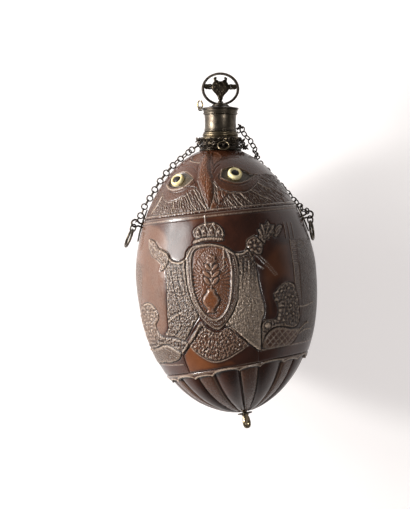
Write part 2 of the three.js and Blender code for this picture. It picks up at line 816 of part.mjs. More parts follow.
function sideMount(name, side) {
  const frame = mountFrame(side);
  add("side_plate_" + name, sidePlate(frame), materials.silver);
  add("side_lug_" + name, sideLug(frame), materials.steel);
  add(
    "side_link_" + name,
    hangingRing(side, linkRadius, linkWire, linkTurn, linkDrop, frame, [6, 14]),
    materials.silver,
  );
  add(
    "side_ring_" + name,
    hangingRing(side, ringRadius, ringWire, ringTurn, ringDrop, frame, [6, 24]),
    materials.silver,
  );
}

// The way of the chain: up the left shoulder, twice round the neck, over a slack loop
// and down the right shoulder. Each stretch carries the twist of its links.
function chainStretches() {
  const hook = (side, turn) => {
    const frame = mountFrame(side);
    const eye = mountPoint(frame, lugReach, 0);
    const reach = lugEye + chainWire;
    return eye.add(
      new THREE.Vector3(-side.sign * reach * Math.cos(turn), 0, reach * Math.sin(turn)),
    );
  };
  const plateTop = lugSection - plateLength / 2;
  const onNut = (share, around) => {
    const section = lugSection * share;
    const over = THREE.MathUtils.smoothstep(section, plateTop - 2 * chainLink, plateTop - chainLink);
    return nutPoint(section, around, chainLift + over * plateThickness);
  };
  const wrapRadius = collarWaist + wrapClearance;
  const wrap = (around, low) => {
    const spread = wrapRadius + low * wrapSpread;
    const wave = chainWire * Math.sin(3 * around);
    const height = collarLevel + wrapLow + (1 - low) * wrapStep + wave;
    return new THREE.Vector3(
      spread * Math.sin(around),
      -spread * Math.cos(around),
      height,
    );
  };
  const left = [hook(sides.left, 70 * deg)];
  for (let share = 0.85; share > 0.2; share -= 0.105) {
    left.push(onNut(share, (-90 + 16 * (0.85 - share)) * deg));
  }
  left.push(onNut(0.148, -76 * deg));
  const lower = [];
  for (let turn = -62; turn <= 225; turn += 20) lower.push(wrap(turn * deg, 1));
  const upper = [];
  for (let turn = 265; turn <= 520; turn += 20) upper.push(wrap(turn * deg, 0));
  const crest = tubeLevel + tubeHeight * 0.4;
  const beside = tubeRadius + 2 * chainLink;
  const slack = [
    new THREE.Vector3(beside * 0.75, beside * 0.72, collarLevel + collarHeight * 0.85),
    new THREE.Vector3(beside * 0.86, beside * 0.42, crest - chainLink),
    new THREE.Vector3(beside * 0.95, beside * 0.12, crest - chainLink * 0.45),
    new THREE.Vector3(beside * 1.12, -beside * 0.1, crest - chainLink * 3.25),
    new THREE.Vector3(wrapRadius * 1.34, 0, collarLevel + wrapLow + wrapStep * 0.9),
    new THREE.Vector3(wrapRadius * 1.52, chainLink, collarLevel + wrapLow - chainLink * 0.85),
  ];
  const right = [];
  for (let share = 0.19; share < 0.85; share += 0.105) {
    const behind = 26 * Math.cos(((share - 0.19) / 0.75) * (Math.PI / 2));
    right.push(onNut(share, (92 + behind) * deg));
  }
  right.push(onNut(0.893, 93 * deg), hook(sides.right, 70 * deg));
  return [
    { name: "chain_left", points: left, roll: 0 },
    { name: "chain_wrap_lower", points: lower, roll: 45 * deg },
    { name: "chain_wrap_upper", points: upper, roll: 45 * deg },
    { name: "chain_loop", points: slack, roll: 45 * deg },
    { name: "chain_right", points: right, roll: 0 },
  ];
}

// The chain: round links a pitch apart, each a quarter turn on from the last. The links of
// a stretch are fused where they touch, and its two end links hang in their neighbours.
function chain() {
  const stretches = chainStretches();
  const route = new THREE.CatmullRomCurve3(
    stretches.flatMap((stretch) => stretch.points),
    false,
    "centripetal",
  );
  route.arcLengthDivisions = 2000;
  const total = route.getLength();
  const loose = linkPitch - chainSlack;
  const pairs = Math.floor(total / (linkPitch + chainBite) / 2);
  const joints = stretches.length - 1;
  const pitch = (total - joints * loose) / (2 * pairs - joints);
  const knots = stretches.flatMap((stretch) => stretch.points).length - 1;
  const lengths = route.getLengths(2000);
  let knot = 0;
  let travelled = 0;
  let number = 0;
  for (const stretch of stretches) {
    knot += stretch.points.length;
    const share = Math.min(1, (knot - 0.5) / knots);
    const end = lengths[Math.round(share * 2000)] + pitch * 0.01;
    let body = null;
    while (travelled <= end && number <= 2 * pairs) {
      const twist = ((number + 1) * Math.PI) / 2 + stretch.roll;
      const link = solid(chainLinkAt(route, Math.min(1, travelled / total), twist));
      body = body ? body.add(link) : link;
      travelled += pitch;
      number += 1;
    }
    travelled += loose - pitch;
    add(stretch.name, surface(body), materials.steel);
  }
}

// One link on the route: twisted about it, measured from the direction away from the neck.
function chainLinkAt(route, share, twist) {
  const place = route.getPointAt(share);
  const way = route.getTangentAt(share);
  const out = new THREE.Vector3(place.x, place.y, 0).normalize();
  out.addScaledVector(way, -out.dot(way)).normalize();
  const side = new THREE.Vector3().crossVectors(way, out);
  const plane = out.clone().multiplyScalar(Math.cos(twist));
  plane.addScaledVector(side, Math.sin(twist));
  const basis = new THREE.Matrix4();
  basis.makeBasis(way, plane, new THREE.Vector3().crossVectors(way, plane));
  basis.setPosition(place);
  const inner = chainLink - chainWire;
  const outer = chainLink + chainWire * 0.6;
  const section = [
    [inner, 0],
    [outer, -chainWire],
    [outer, chainWire],
    [inner, 0],
  ];
  return turned(section, chainSides).applyMatrix4(basis);
}

// The larger ring that lies on the turns in front.
function openRing() {
  const ring = new THREE.TorusGeometry(openRingRadius, openRingWire, 5, 18);
  ring.rotateX(Math.PI / 2 - openRingLean);
  const out = collarWaist + wrapClearance + wrapSpread + chainLink + 2 * chainWire;
  return ring.translate(openRingRadius / 2, -out - openRingWire - bearing, collarLevel + wrapLow);
}

// The petalled washer under the nut's lower tip, in the frame of that tip.
function footWasher() {
  const outline = new THREE.Shape();
  const steps = washerPetals * 4;
  for (let k = 0; k < steps; k++) {
    const turn = (2 * Math.PI * k) / steps;
    const radius = washerRadius * (1 - 0.12 * (1 - Math.abs(Math.cos((turn * washerPetals) / 2))));
    const spot = [radius * Math.cos(turn), radius * Math.sin(turn)];
    if (k === 0) outline.moveTo(...spot);
    else outline.lineTo(...spot);
  }
  const hole = new THREE.Path();
  hole.absarc(0, 0, pegRadius + seatGap, 0, 2 * Math.PI, true);
  outline.holes.push(hole);
  return new THREE.ExtrudeGeometry(outline, {
    depth: washerThickness,
    bevelEnabled: false,
    curveSegments: 6,
  });
}

// The drop-shaped eye and its peg, in the frame of the nut's tip.
function footLoop() {
  const below = -seatGap - washerThickness - seam;
  const half = dropWidth / 2;
  const drop = new THREE.Shape();
  drop.moveTo(-half * 0.5, 0);
  drop.quadraticCurveTo(-half * 1.15, -dropLength * 0.35, -half, -dropLength + half);
  drop.absarc(0, -dropLength + half, half, Math.PI, 2 * Math.PI, false);
  drop.quadraticCurveTo(half * 1.15, -dropLength * 0.35, half * 0.5, 0);
  const hole = new THREE.Path();
  hole.absarc(0, -dropLength + half, dropHole, 0, 2 * Math.PI, true);
  drop.holes.push(hole);
  const eye = new THREE.ExtrudeGeometry(drop, {
    depth: dropThickness * 0.6,
    bevelThickness: dropThickness * 0.2,
    bevelSize: dropThickness * 0.2,
    bevelOffset: -dropThickness * 0.2,
    bevelSegments: 1,
    curveSegments: 7,
  });
  eye.translate(0, 0, -dropThickness * 0.3).rotateX(Math.PI / 2).rotateZ(dropTurn);
  eye.translate(0, 0, below);
  const peg = bar(
    new THREE.Vector3(0, 0, below - pegRadius),
    new THREE.Vector3(0, 0, shellWall + pegInside),
    pegRadius,
  );
  return surface(solid(eye).add(solid(peg)));
}

function foot() {
  const tip = new THREE.Group();
  tip.position.copy(nutPlace(nutLength, 0, 0));
  tip.rotation.y = -nutBend;
  flask.add(tip);
  const washer = add("foot_washer", footWasher(), materials.silver, tip);
  washer.position.z = -seatGap - washerThickness;
  add("foot_loop", footLoop(), materials.gilt, tip);
}

add("coconut_shell", nut(), materials.nut);
for (const [name, spot] of Object.entries(eyeSpots)) eye(name, spot);
add("neck_collar", neckCollar(), materials.gilt);
add("neck_tube", neckTube(), materials.silver);
add("neck_lip", neckLip(), materials.silver);
stopper();
for (const [name, side] of Object.entries(sides)) sideMount(name, side);
chain();
add("chain_ring", openRing(), materials.gilt);
foot();

export default flask;
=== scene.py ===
"""Makes a carved coconut flask with silver mounts, a ringed stopper and a link chain."""

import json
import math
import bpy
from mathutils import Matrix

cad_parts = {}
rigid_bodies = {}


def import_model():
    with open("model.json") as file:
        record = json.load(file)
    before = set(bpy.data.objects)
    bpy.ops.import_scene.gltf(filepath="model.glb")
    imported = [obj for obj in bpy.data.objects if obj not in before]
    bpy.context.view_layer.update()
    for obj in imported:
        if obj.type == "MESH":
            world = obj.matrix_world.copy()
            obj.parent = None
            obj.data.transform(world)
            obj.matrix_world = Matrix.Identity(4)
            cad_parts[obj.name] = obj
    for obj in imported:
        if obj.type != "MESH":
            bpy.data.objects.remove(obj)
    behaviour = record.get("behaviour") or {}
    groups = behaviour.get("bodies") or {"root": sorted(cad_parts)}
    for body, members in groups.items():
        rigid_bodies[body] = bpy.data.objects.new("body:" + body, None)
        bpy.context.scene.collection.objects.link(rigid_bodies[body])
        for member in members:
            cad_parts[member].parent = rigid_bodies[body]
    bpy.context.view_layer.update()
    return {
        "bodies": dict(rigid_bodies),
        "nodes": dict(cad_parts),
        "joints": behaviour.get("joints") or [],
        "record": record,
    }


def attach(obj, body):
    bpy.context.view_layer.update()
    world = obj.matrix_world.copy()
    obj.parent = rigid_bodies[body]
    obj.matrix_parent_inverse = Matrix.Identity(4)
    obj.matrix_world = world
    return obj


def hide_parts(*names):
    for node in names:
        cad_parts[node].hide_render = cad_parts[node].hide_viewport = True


bl_info = {
    "name": "Carved coconut flask",
    "version": (1, 0, 0),
    "blender": (4, 5, 0),
    "location": "View3D > Sidebar > Flask",
    "description": "Makes a carved coconut flask with silver mounts, a ringed stopper and a chain",
    "category": "Add Mesh",
}

import bpy
import numpy as np
from mathutils import Vector

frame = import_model()

MM = 0.001
DEG = math.pi / 180

# The nut: an egg round a slightly bent axis, in millimetres.
NUT_LENGTH = 129.5
NUT_RADIUS = 43.8
NUT_SHOULDER = 61.0
NUT_UPPER_POWER = 1.65
NUT_LOWER_POWER = 2.3
NUT_BEND = 10.5 * DEG
SHELL_WALL = 4.2
LUG_SECTION = 36.4
BEND_RADIUS = NUT_LENGTH / NUT_BEND
NUT_TOP = BEND_RADIUS * math.sin(LUG_SECTION / BEND_RADIUS)
MOUTH_RADIUS = 7.3
COLLAR_FOOT = 10.3

# The carver's drawing of the front: units of 0.486 mm, its origin up and left of the nut.
UNIT = 0.486
DRAWING_X = 220.5
DRAWING_Y = 221.75


def egg_radius(section, grow=0.0):
    """Radius of the nut at a distance along its axis, its walls moved out by grow."""
    section = np.asarray(section, float)
    above = section < NUT_SHOULDER
    reach = np.where(above, NUT_SHOULDER, NUT_LENGTH - NUT_SHOULDER) + grow
    share = np.minimum(1.0, np.abs(section - NUT_SHOULDER) / reach)
    power = np.where(above, NUT_UPPER_POWER, NUT_LOWER_POWER)
    return (NUT_RADIUS + grow) * np.sqrt(np.maximum(0.0, 1 - share**power))


def section_of_radius(radius):
    """The section above the widest one where the nut has a given radius."""
    share = 1 - (radius / NUT_RADIUS) ** 2
    return NUT_SHOULDER - NUT_SHOULDER * share ** (1 / NUT_UPPER_POWER)


def nut_place(section, around, radius):
    """Points on sections of the nut; around is 0 in front and a quarter turn at +X."""
    lean = np.asarray(section, float) / BEND_RADIUS
    out = radius * np.sin(around)
    x = BEND_RADIUS * (1 - np.cos(lean)) + out * np.cos(lean)
    z = NUT_TOP - BEND_RADIUS * np.sin(lean) + out * np.sin(lean)
    return np.stack(np.broadcast_arrays(x, -radius * np.cos(around), z), -1)


def egg_slope(section):
    step = 0.05
    low = np.maximum(section - step, 0.02)
    high = np.minimum(section + step, NUT_LENGTH - 0.02)
    return (egg_radius(high) - egg_radius(low)) / (high - low)


SKIN_SECTIONS = np.linspace(0.02, NUT_LENGTH - 0.02, 2400)
SKIN_RUNS = np.concatenate(
    [[0], np.cumsum(np.hypot(np.diff(SKIN_SECTIONS), np.diff(egg_radius(SKIN_SECTIONS))))]
)


def skin_length(section):
    """The way along the skin from the upper end down to a section."""
    return np.interp(section, SKIN_SECTIONS, SKIN_RUNS)


def skin_section(length):
    return np.interp(length, SKIN_RUNS, SKIN_SECTIONS)


def on_nut(section, around, height=0.0):
    """Points a height above the nut's skin, along its normal."""
    slope = egg_slope(section)
    length = np.sqrt(1 + slope**2)
    return nut_place(
        section - height * slope / length, around, egg_radius(section) + height / length
    )


def from_drawing(spots):
    """Section and angle of the skin under points of the drawing."""
    x = (spots[:, 0] - DRAWING_X) * UNIT
    z = (DRAWING_Y - spots[:, 1]) * UNIT
    lean = np.arctan2(NUT_TOP - z, BEND_RADIUS - x)
    out = BEND_RADIUS - np.hypot(BEND_RADIUS - x, NUT_TOP - z)
    section = np.clip(lean * BEND_RADIUS, 0.05, NUT_LENGTH - 0.05)
    return section, np.arcsin(np.clip(out / egg_radius(section), -0.999, 0.999))


def smooth(value, low, high):
    share = np.clip((value - low) / (high - low), 0, 1)
    return share * share * (3 - 2 * share)


def bell(value, width):
    """1 where a value is 0, falling to almost nothing two widths off."""
    return np.exp(-((value / width) ** 2))


def bent(a, b, c, t):
    """The spot at a share t of the bend that runs from a to c and leans towards b."""
    return (1 - t) ** 2 * np.array(a) + 2 * t * (1 - t) * np.array(b) + t * t * np.array(c)


def curve(points, closed=False, step=0.4):
    """A smooth line through points, sampled evenly."""
    knots = np.array(points, float)
    if closed:
        knots = np.vstack([knots[-1], knots, knots[0], knots[1]])
    else:
        knots = np.vstack([2 * knots[0] - knots[1], knots, 2 * knots[-1] - knots[-2]])
    spots = []
    for a, b, c, d in zip(knots, knots[1:], knots[2:], knots[3:]):
        count = max(2, int(np.linalg.norm(c - b) / step))
        t = np.linspace(0, 1, count, endpoint=False)[:, None]
        spots.append(
            b
            + 0.5 * t * (c - a)
            + t * t * (a - 2.5 * b + 2 * c - 0.5 * d)
            + t**3 * (1.5 * (b - c) + 0.5 * (d - a))
        )
    if not closed:
        spots.append(knots[-2][None])
    return np.vstack(spots)


def wire_line(points, step=0.12):
    """A smooth line through spots in space, fine enough for a wire."""
    return curve(points, step=step)


def scatter(column, row, seed):
    """A repeatable number from 0 to 1 for each cell of a grid."""
    mixed = column.astype(np.int64) * 374761393 + row.astype(np.int64) * 668265263 + seed * 974711
    mixed = (mixed ^ (mixed >> 13)) * 1274126177 & 0x7FFFFFFF
    return ((mixed ^ (mixed >> 16)) & 0xFFFFFF) / float(0xFFFFFF)


def cells_by(u, v, seed, edge):
    """The nine cells by each spot, and the way from it to the point scattered in each.

    A point keeps a share of its cell, the edge, away from the cell's borders."""
    column, row = np.floor(u), np.floor(v)
    for i in (-1, 0, 1):
        for j in (-1, 0, 1):
            cell = column + i, row + j
            du = cell[0] + edge + (1 - 2 * edge) * scatter(*cell, seed) - u
            dv = cell[1] + edge + (1 - 2 * edge) * scatter(*cell, seed + 7) - v
            yield cell, du, dv


def chips_at(u, v, seed):
    """Distance from the nearest of scattered points, one to each unit cell."""
    nearest = np.full(u.shape, 9.0)
    for _, du, dv in cells_by(u, v, seed, 0.15):
        nearest = np.minimum(nearest, du * du + dv * dv)
    return np.sqrt(nearest)


def flecks_at(u, v, seed, turn):
    """1 in the middle of scattered short strokes, one to each unit cell, and 0 off them."""
    most = np.zeros(u.shape)
    for cell, du, dv in cells_by(u, v, seed, 0.2):
        lean = turn + 1.6 * (scatter(*cell, seed + 13) - 0.5)
        length = 0.3 + 0.25 * scatter(*cell, seed + 19)
        along = (du * np.cos(lean) + dv * np.sin(lean)) / length
        across = (dv * np.cos(lean) - du * np.sin(lean)) / 0.17
        most = np.maximum(most, 1 - np.sqrt(along**2 + across**2))
    return smooth(most, 0.0, 0.7)


class Carving:
    """A band of the nut's skin with what the carver cut into it.

    height is in millimetres above the plain skin, worked is 1 where the tool left the
    skin dull, warm is 1 where the shell shows its orange-brown, pale is 1 on lines that
    hands have rubbed and where glints and highlights are painted, and olive is 1 where
    green-brown wax has stayed."""

    def __init__(self, section, around):
        self.section, self.around = section, around
        self.sections, self.angles = section.ravel(), around.ravel()
        self.flat = nut_place(section, around, egg_radius(section)).reshape(-1, 3)
        self.across = DRAWING_X + self.flat[:, 0] / UNIT
        self.down = DRAWING_Y - self.flat[:, 2] / UNIT
        self.front = np.cos(self.angles) > 0.02
        self.height = np.zeros(section.size)
        self.worked, self.warm, self.pale, self.olive = np.zeros((4, section.size))
        self.u, self.v = self.angles * egg_radius(self.sections), skin_length(self.sections)

    def within(self, low, high):
        """The vertices of the front inside an upright box of the drawing."""
        return np.flatnonzero(
            self.front
            & (self.across > low[0])
            & (self.across < high[0])
            & (self.down > low[1])
            & (self.down < high[1])
        )

    def near(self, line, reach):
        """The vertices within reach of a drawn line, and their distance from it."""
        pad = reach / UNIT * 1.1
        found = self.within(line.min(0) - pad, line.max(0) + pad)
        if not len(found):
            return found, np.zeros(0)
        section, around = from_drawing(line)
        spots = nut_place(section, around, egg_radius(section))
        gaps = []
        for start in range(0, len(found), 4096):
            some = self.flat[found[start : start + 4096]]
            square = (some**2).sum(1)[:, None] + (spots**2).sum(1)[None] - 2 * some @ spots.T
            gaps.append(np.sqrt(np.maximum(square.min(1), 0)))
        gap = np.concatenate(gaps)
        close = gap < reach
        return found[close], gap[close]

    def cut(self, points, width=0.45, depth=0.3, closed=False, straight=False, pale=0.0):
        """A round groove along a drawn line, or a ridge where depth is negative."""
        line = np.array(points, float) if straight else curve(points, closed)
        if straight:
            stretches = zip(line, line[1:])
            line = np.vstack([np.linspace(a, b, max(2, int(np.linalg.norm(b - a) / 0.4)))
                              for a, b in stretches])
        found, gap = self.near(line, width)
        share = 0.5 + 0.5 * np.cos(math.pi * gap / width)
        self.height[found] -= depth * share
        self.rub(found, pale * share)

    def cuts(self, lines, width, depth, pale=0.0):
        for line in lines:
            self.cut(line, width, depth, pale=pale)

    def border(self, points, depth=0.3, pale=0.7):
        """A thin dark groove round a field, and inside it a pale edge: rubbed wear and a painted
        highlight.
        """
        self.cut(points, 0.42, depth * 1.2, closed=True)
        found = self.inside(points)
        close, gap = self.near(curve(points, True), 0.95)
        rim = np.zeros(self.section.size)
        rim[close] = bell(gap - 0.48, 0.14)
        self.rub(found, 0.6 * pale * rim[found])
        self.height[found] += 0.3 * pale * rim[found]

    def inside(self, points):
        """The vertices inside a closed drawn line."""
        line = curve(points, True, 1.2)
        found = self.within(line.min(0), line.max(0))
        x, y = self.across[found], self.down[found]
        odd = np.zeros(len(found), bool)
        for (ax, ay), (bx, by) in zip(line, np.roll(line, -1, 0)):
            crosses = (ay > y) != (by > y)
            odd ^= crosses & (x < (bx - ax) * (y - ay) / (by - ay + 1e-12) + ax)
        return found[odd]

    def field(self, points, bevel=0.6):
        """The vertices inside a drawn outline, rising from 0 at the edge to 1 past the bevel."""
        found = self.inside(points)
        close, gap = self.near(curve(points, True), bevel)
        rise = np.ones(self.section.size)
        rise[close] = smooth(gap, 0, bevel)
        return found, rise[found]

    def lift(self, field, value, found=slice(None)):
        """Brings a field up to a value where it is lower."""
        now = getattr(self, field)
        now[found] = np.maximum(now[found], value)

    def rub(self, found, amount):
        """Makes some vertices at least as pale as an amount."""
        self.lift("pale", amount, found)

    def raise_field(self, points, level, bevel=0.6, worked=None, warm=None):
        found, share = self.field(points, bevel)
        self.height[found] += level * share
        if worked is not None:
            self.worked[found] = worked
        if warm is not None:
            self.lift("warm", warm * share, found)
        return found, share

    def chip(self, found, share, size, depth, seed, stretch=1.0, turn=0.0):
        """Scattered nicks over some vertices."""
        c, s = math.cos(turn), math.sin(turn)
        u = (self.u[found] * c + self.v[found] * s) / size
        v = (self.v[found] * c - self.u[found] * s) / (size * stretch)
        self.height[found] -= depth * share * (1 - smooth(chips_at(u, v, seed), 0.1, 0.55))

    def flecks(self, found, share, size, rise, seed, turn, pale, stretch=1.0):
        """Scattered raised strokes, painted pale as rubbed wear and glints, over some vertices; turn
        is from level.
        """
        c, s = self.across[found] * UNIT / size, self.down[found] * UNIT / (size * stretch)
        fleck = share * flecks_at(c, s, seed, turn)
        self.height[found] += rise * fleck
        self.rub(found, pale * fleck)

    def hatch(self, found, share, pitch, depth, turn, width=0.5, pale=0.0):
        """Parallel grooves over some vertices."""
        c, s = math.cos(turn), math.sin(turn)
        place = (self.across[found] * c + self.down[found] * s) / pitch
        wave = np.abs(place - np.round(place)) * 2
        line = share * (1 - smooth(wave, 0, width))
        self.height[found] -= depth * line
        self.rub(found, pale * line)

    # A round knob; its pale share paints rubbed wear and glints on it.
    def bead(self, x, y, radius=0.55, rise=0.4, pale=0.0):
        found, gap = self.near(np.array([[x, y], [x + 0.01, y]]), radius)
        share = np.sqrt(np.maximum(0, 1 - (gap / radius) ** 2))
        self.height[found] += rise * share
        self.rub(found, pale * share)

    def beads(self, points, pitch, radius, rise, closed=False, pale=0.0):
        line = curve(points, closed, 0.2)
        run = np.concatenate([[0], np.cumsum(np.linalg.norm(np.diff(line, axis=0), axis=1))])
        for place in np.arange(pitch / 2, run[-1], pitch):
            x = np.interp(place, run, line[:, 0])
            y = np.interp(place, run, line[:, 1])
            self.bead(x, y, radius, rise, pale)


# Outlines of the carving, in drawing units.
SOCKETS = {
    "left": [
        (168.5, 186.5), (170.5, 180.5), (175.5, 175.8), (181.5, 172.8), (187, 172.6),
        (192.3, 176.8), (193.8, 180), (188.7, 185), (183.5, 187.6), (177.5, 189.3), (172, 189),
    ],
    "right": [
        (219.5, 178.5), (221, 172), (225.9, 168.7), (235, 167.6), (243.7, 170.8), (250.9, 174.8),
        (256.5, 175.4), (250.5, 180.2), (246, 182.6), (240, 184.6), (233.7, 184.6),
        (226.6, 182.5), (222, 180.4),
    ],
}
LIDS = {
    "left": [
        [(167.6, 185.6), (169.8, 190), (175.1, 191), (181.6, 189.6), (188, 186.1), (193.4, 181.2)],
        [(168.4, 188), (171.6, 193), (175.9, 194.1), (181.6, 193), (188.7, 189.2), (196.3, 183)],
    ],
    "right": [
        [(221.4, 171), (220.8, 178.6), (225.1, 181.6), (232.3, 183.4), (239.4, 183.8), (246, 181.6),
         (250.6, 177.8), (256.3, 175)],
        [(219.2, 175.6), (219.4, 180.2), (224.4, 183.6), (232.6, 186.1), (240.1, 186.2),
         (247, 183.8), (252.2, 179.4), (258, 176.2)],
    ],
}
BAGS = {
    "left": [(162, 192.5), (165.1, 199.4), (169.4, 202), (175.1, 201.3), (181.6, 198.2),
             (188.7, 193.9), (195.6, 189)],
    "right": [(213.7, 183), (218.7, 189.1), (224.4, 191.8), (229.6, 193.1), (236.6, 193.2),
              (243.7, 192.9), (249.4, 190.3), (253.9, 186.1), (257, 181.9), (258.6, 176.6)],
}
RIDGE = [
    (208, 151), (204.4, 154.6), (200.9, 161), (198.7, 168), (197.6, 173.7), (197, 180),
    (198.6, 185), (200.6, 191), (203.6, 199.4), (208, 211.5), (210.6, 205), (213.2, 196),
    (214, 189), (213.6, 182.6), (212.6, 177.6), (211.2, 172), (210.3, 166), (210.9, 158.7),
]
CROWN = [
    (193.4, 231.8), (198, 226.9), (205.5, 224.2), (214.7, 223.7), (221.3, 228.3), (223.6, 235.8),
    (219.8, 238), (206.5, 237.2), (196.3, 239.2),
]
CROWN_BAND = [
    (195.3, 240), (206.3, 237.6), (220.6, 237.4), (222.4, 241.4), (206.8, 241.4), (194, 244.4),
]
SHIELD_OUTER = [
    (193, 246.5), (187, 252.5), (186.2, 263), (186.9, 275), (188.3, 286), (192.2, 299.5),
    (199, 313), (208.6, 323.3), (217.6, 327.6), (224.4, 322.4), (231.4, 311.6), (236.2, 299),
    (237.4, 284), (237.6, 267), (234, 254), (224, 246.5), (208, 243.6),
]
SHIELD_BORDER = [
    (196, 249), (191.8, 257), (191.6, 268), (192.3, 280), (194.6, 292), (199.6, 304.6),
    (206.6, 313.6), (215, 317.6), (222, 314), (227.6, 304.6), (230.2, 292), (230.8, 279),
    (230.4, 266), (227, 253), (222, 247.6), (209, 245.6),
]
MEDALLION_MIDDLE = (211.2, 281.5)
MEDALLION_HALF_WIDTH = 19.5
MEDALLION_HALF_HEIGHT = 36
MEDALLION_RAYS = 52
MANTLE_LEFT = [
    (161.5, 249), (165, 251), (168.8, 253.3), (170.9, 257.6), (175, 260.8), (181.3, 261.2),
    (186.2, 257.4), (189.2, 251.4), (192.4, 246.6), (187, 252.5), (186.4, 263), (187, 275),
    (188.4, 286), (192.2, 299.5), (199, 313), (194, 323), (186, 337.6), (176, 334.8),
    (166.6, 333.2), (169.4, 326.6), (168.6, 316), (168.2, 301), (167.4, 279), (166.8, 269),
    (163.6, 262), (159.6, 256),
]
MANTLE_RIGHT = [
    (224.5, 246.6), (230, 250.8), (235, 252.6), (241.4, 252.2), (246.6, 248.6), (250.6, 254.4),
    (253.4, 261), (255.8, 274.3), (258.4, 289.3), (261.6, 300), (262.8, 310), (259.6, 322.5),
    (259.4, 346.4), (250, 342), (238, 330.6), (227, 320.6), (231.6, 311.6), (236.2, 299),
    (237.4, 284), (237.6, 267), (234, 254),
]
BOW_LEFT = [
    (150.4, 239.6), (156.4, 242), (160, 248.4), (166.4, 252), (170.6, 258), (167.4, 267),
    (161.6, 270.6), (163, 264.6), (158.8, 260), (154, 257), (150.6, 249),
]
BOW_RIGHT = [
    (256.6, 238), (257.4, 234), (255.6, 230), (258.8, 228.6), (259, 224.4), (262.8, 225.2),
    (266, 221.6), (268.6, 225), (273, 225.6), (271.6, 230), (273.6, 234), (269, 235.4),
    (267.4, 239.6), (264.6, 239), (263, 244), (259.4, 241),
]
SMALL_LEAF = [(272, 236.6), (272.6, 230), (276.4, 225.4), (280.4, 226.6), (278.6, 232.4),
              (275, 237.4)]
ROSETTE = [
    (245.4, 247.6), (246, 240.6), (252.8, 236.4), (258, 240.2), (261, 244.6), (260.6, 251.8),
    (257.6, 254.8), (249, 251.4),
]
ROSETTE_MIDDLE = (253.3, 246)
FAN = [
    (200.6, 320), (194, 333.6), (190, 342.6), (196, 348.4), (203, 353.4), (210, 356.9),
    (217, 357.6), (226, 355), (236, 349), (246.6, 341.4), (239, 333.4), (229, 324),
    (218, 330), (208, 326),
]
HAUNCH_LEFT = [
    (150.6, 350), (158.3, 346.6), (165, 343), (171, 343.6), (176.6, 347), (182, 351),
    (180, 357.4), (173, 360.6), (165, 361.4), (154.4, 361.8),
]
LION_LEFT = [
    (141, 309), (145, 303.3), (150.8, 302.3), (156.8, 307.6), (160, 316.6), (157.2, 323.4),
    (159.4, 330), (164.4, 335), (177.4, 336.4), (187, 339), (189.4, 343.2), (184, 349.6),
    (176.6, 346.8), (171, 343.4), (165, 342.8), (158.3, 346.4), (151, 349.6), (146, 340),
    (143, 326),
]
LION_RIGHT = [
    (271.6, 293.6), (276.6, 286.8), (283.2, 281.8), (291, 282.6), (294.6, 292), (296.8, 305),
    (297.4, 318), (292.4, 325.6), (282, 324.6), (272, 325.4), (263.6, 333), (260.6, 345),
    (260, 330), (260.2, 322.4), (263.8, 318.2), (272.6, 317), (276, 311.4), (275.2, 301.6),
]
HAUNCH_RIGHT = [
    (261.4, 345.4), (263.8, 333.4), (272.2, 325.8), (282.2, 325), (289, 326.8), (297.4, 326.6),
    (294.6, 335), (287.8, 342.4), (275, 345),
]
BARE_PATCH = [
    (184.4, 352), (192, 338), (197, 348.6), (206, 355.6), (217, 359), (230, 356.4), (236, 361),
    (222, 365), (204, 368), (189.6, 369.4),
]


def border_section(around):
    """Where the moulding under the face runs round the nut, a little aslant."""
    return 31.7 - 2.3 * np.sin(around)


def ground_section(around):
    """The lower edge of the carved belly."""
    return 105.3 - 0.8 * np.sin(around)


def carve_bands(band):
    """The mouldings that run right round, and the plain strip over the lobes."""
    section, around = band.sections, band.angles
    run = section - border_section(around)
    for offset, width, depth in ((-1.5, 0.3, 0.25), (0.0, 0.32, 0.4), (2.2, 0.32, 0.3)):
        band.height -= depth * bell(run - offset, width)
    for offset, rub in ((-1.1, 0.8), (0.45, 0.35), (1.8, 0.7)):
        band.lift("pale", rub * bell(run - offset, 0.25))
    band.height += 0.22 * smooth(run, -1.7, -1.3) * (1 - smooth(run, 2.2, 2.6))
    run = section - ground_section(around)
    band.height -= 0.35 * bell(run, 0.3)
    band.height += 0.2 * bell(run - 0.7, 0.4)
    band.lift("pale", 0.5 * bell(run - 0.75, 0.25))


def carve_lobes(band):
    """Alternating round and flat lobes under a scalloped ledge."""
    section, around = band.sections, band.angles
    turn = (around / DEG + 21.5) % 40
    rolled = turn < 22.5
    across = np.where(rolled, turn / 11.25 - 1, (turn - 22.5) / 8.75 - 1)
    bow = np.sqrt(np.maximum(0, 1 - across**2))
    climb = 2.0 * smooth(np.sin(around), -0.9, 0.5)
    start = 109.7 - climb - np.where(rolled, 2.4, 1.5) * bow**0.8
    along = smooth(section, start, start + 1.0)
    taper = np.minimum(1, egg_radius(section) / 15)
    roll = np.where(rolled, 0.75 + 2.3 * (1 - bow), 1.5 + 1.5 * across**6 - 0.35 * bow)
    band.height -= along * taper * roll
    ledge = bell(section - start + 0.15, 0.45)
    band.height += 0.3 * ledge
    vein = bell(np.abs(across) - 0.86, 0.05) * ~rolled
    band.height += 0.1 * along * taper * vein
    band.lift("pale", 0.12 * along * vein)
    band.lift("worked", along * np.where(rolled, 0.05, 0.4))
    band.lift("warm", 0.3 * along * ~rolled)
    band.lift("worked", 0.5 * ledge)
    band.lift("pale", 0.75 * ledge)


def carve_eye(band, side):
    """An almond socket with lid lines and the smooth bag under it."""
    bag = BAGS[side] + SOCKETS[side][:1] if side == "left" else BAGS[side]
    brow = SOCKETS[side]
    found, share = band.field(brow, 1.1)
    band.height[found] -= 0.95 * share
    band.worked[found] = 0.4
    band.olive[found] = share
    lid_low, lid_out = LIDS[side]
    band.cut(lid_low, 0.62 if side == "left" else 0.4, -0.42, pale=1.0 if side == "left" else 0.5)
    band.cut(lid_out, 0.42, 0.3)
    band.cut(bag, 0.45, 0.3)
    shifted = [(x, y + 1.1) for x, y in BAGS[side]]
    band.cut(shifted, 0.4, -0.22, pale=0.45)


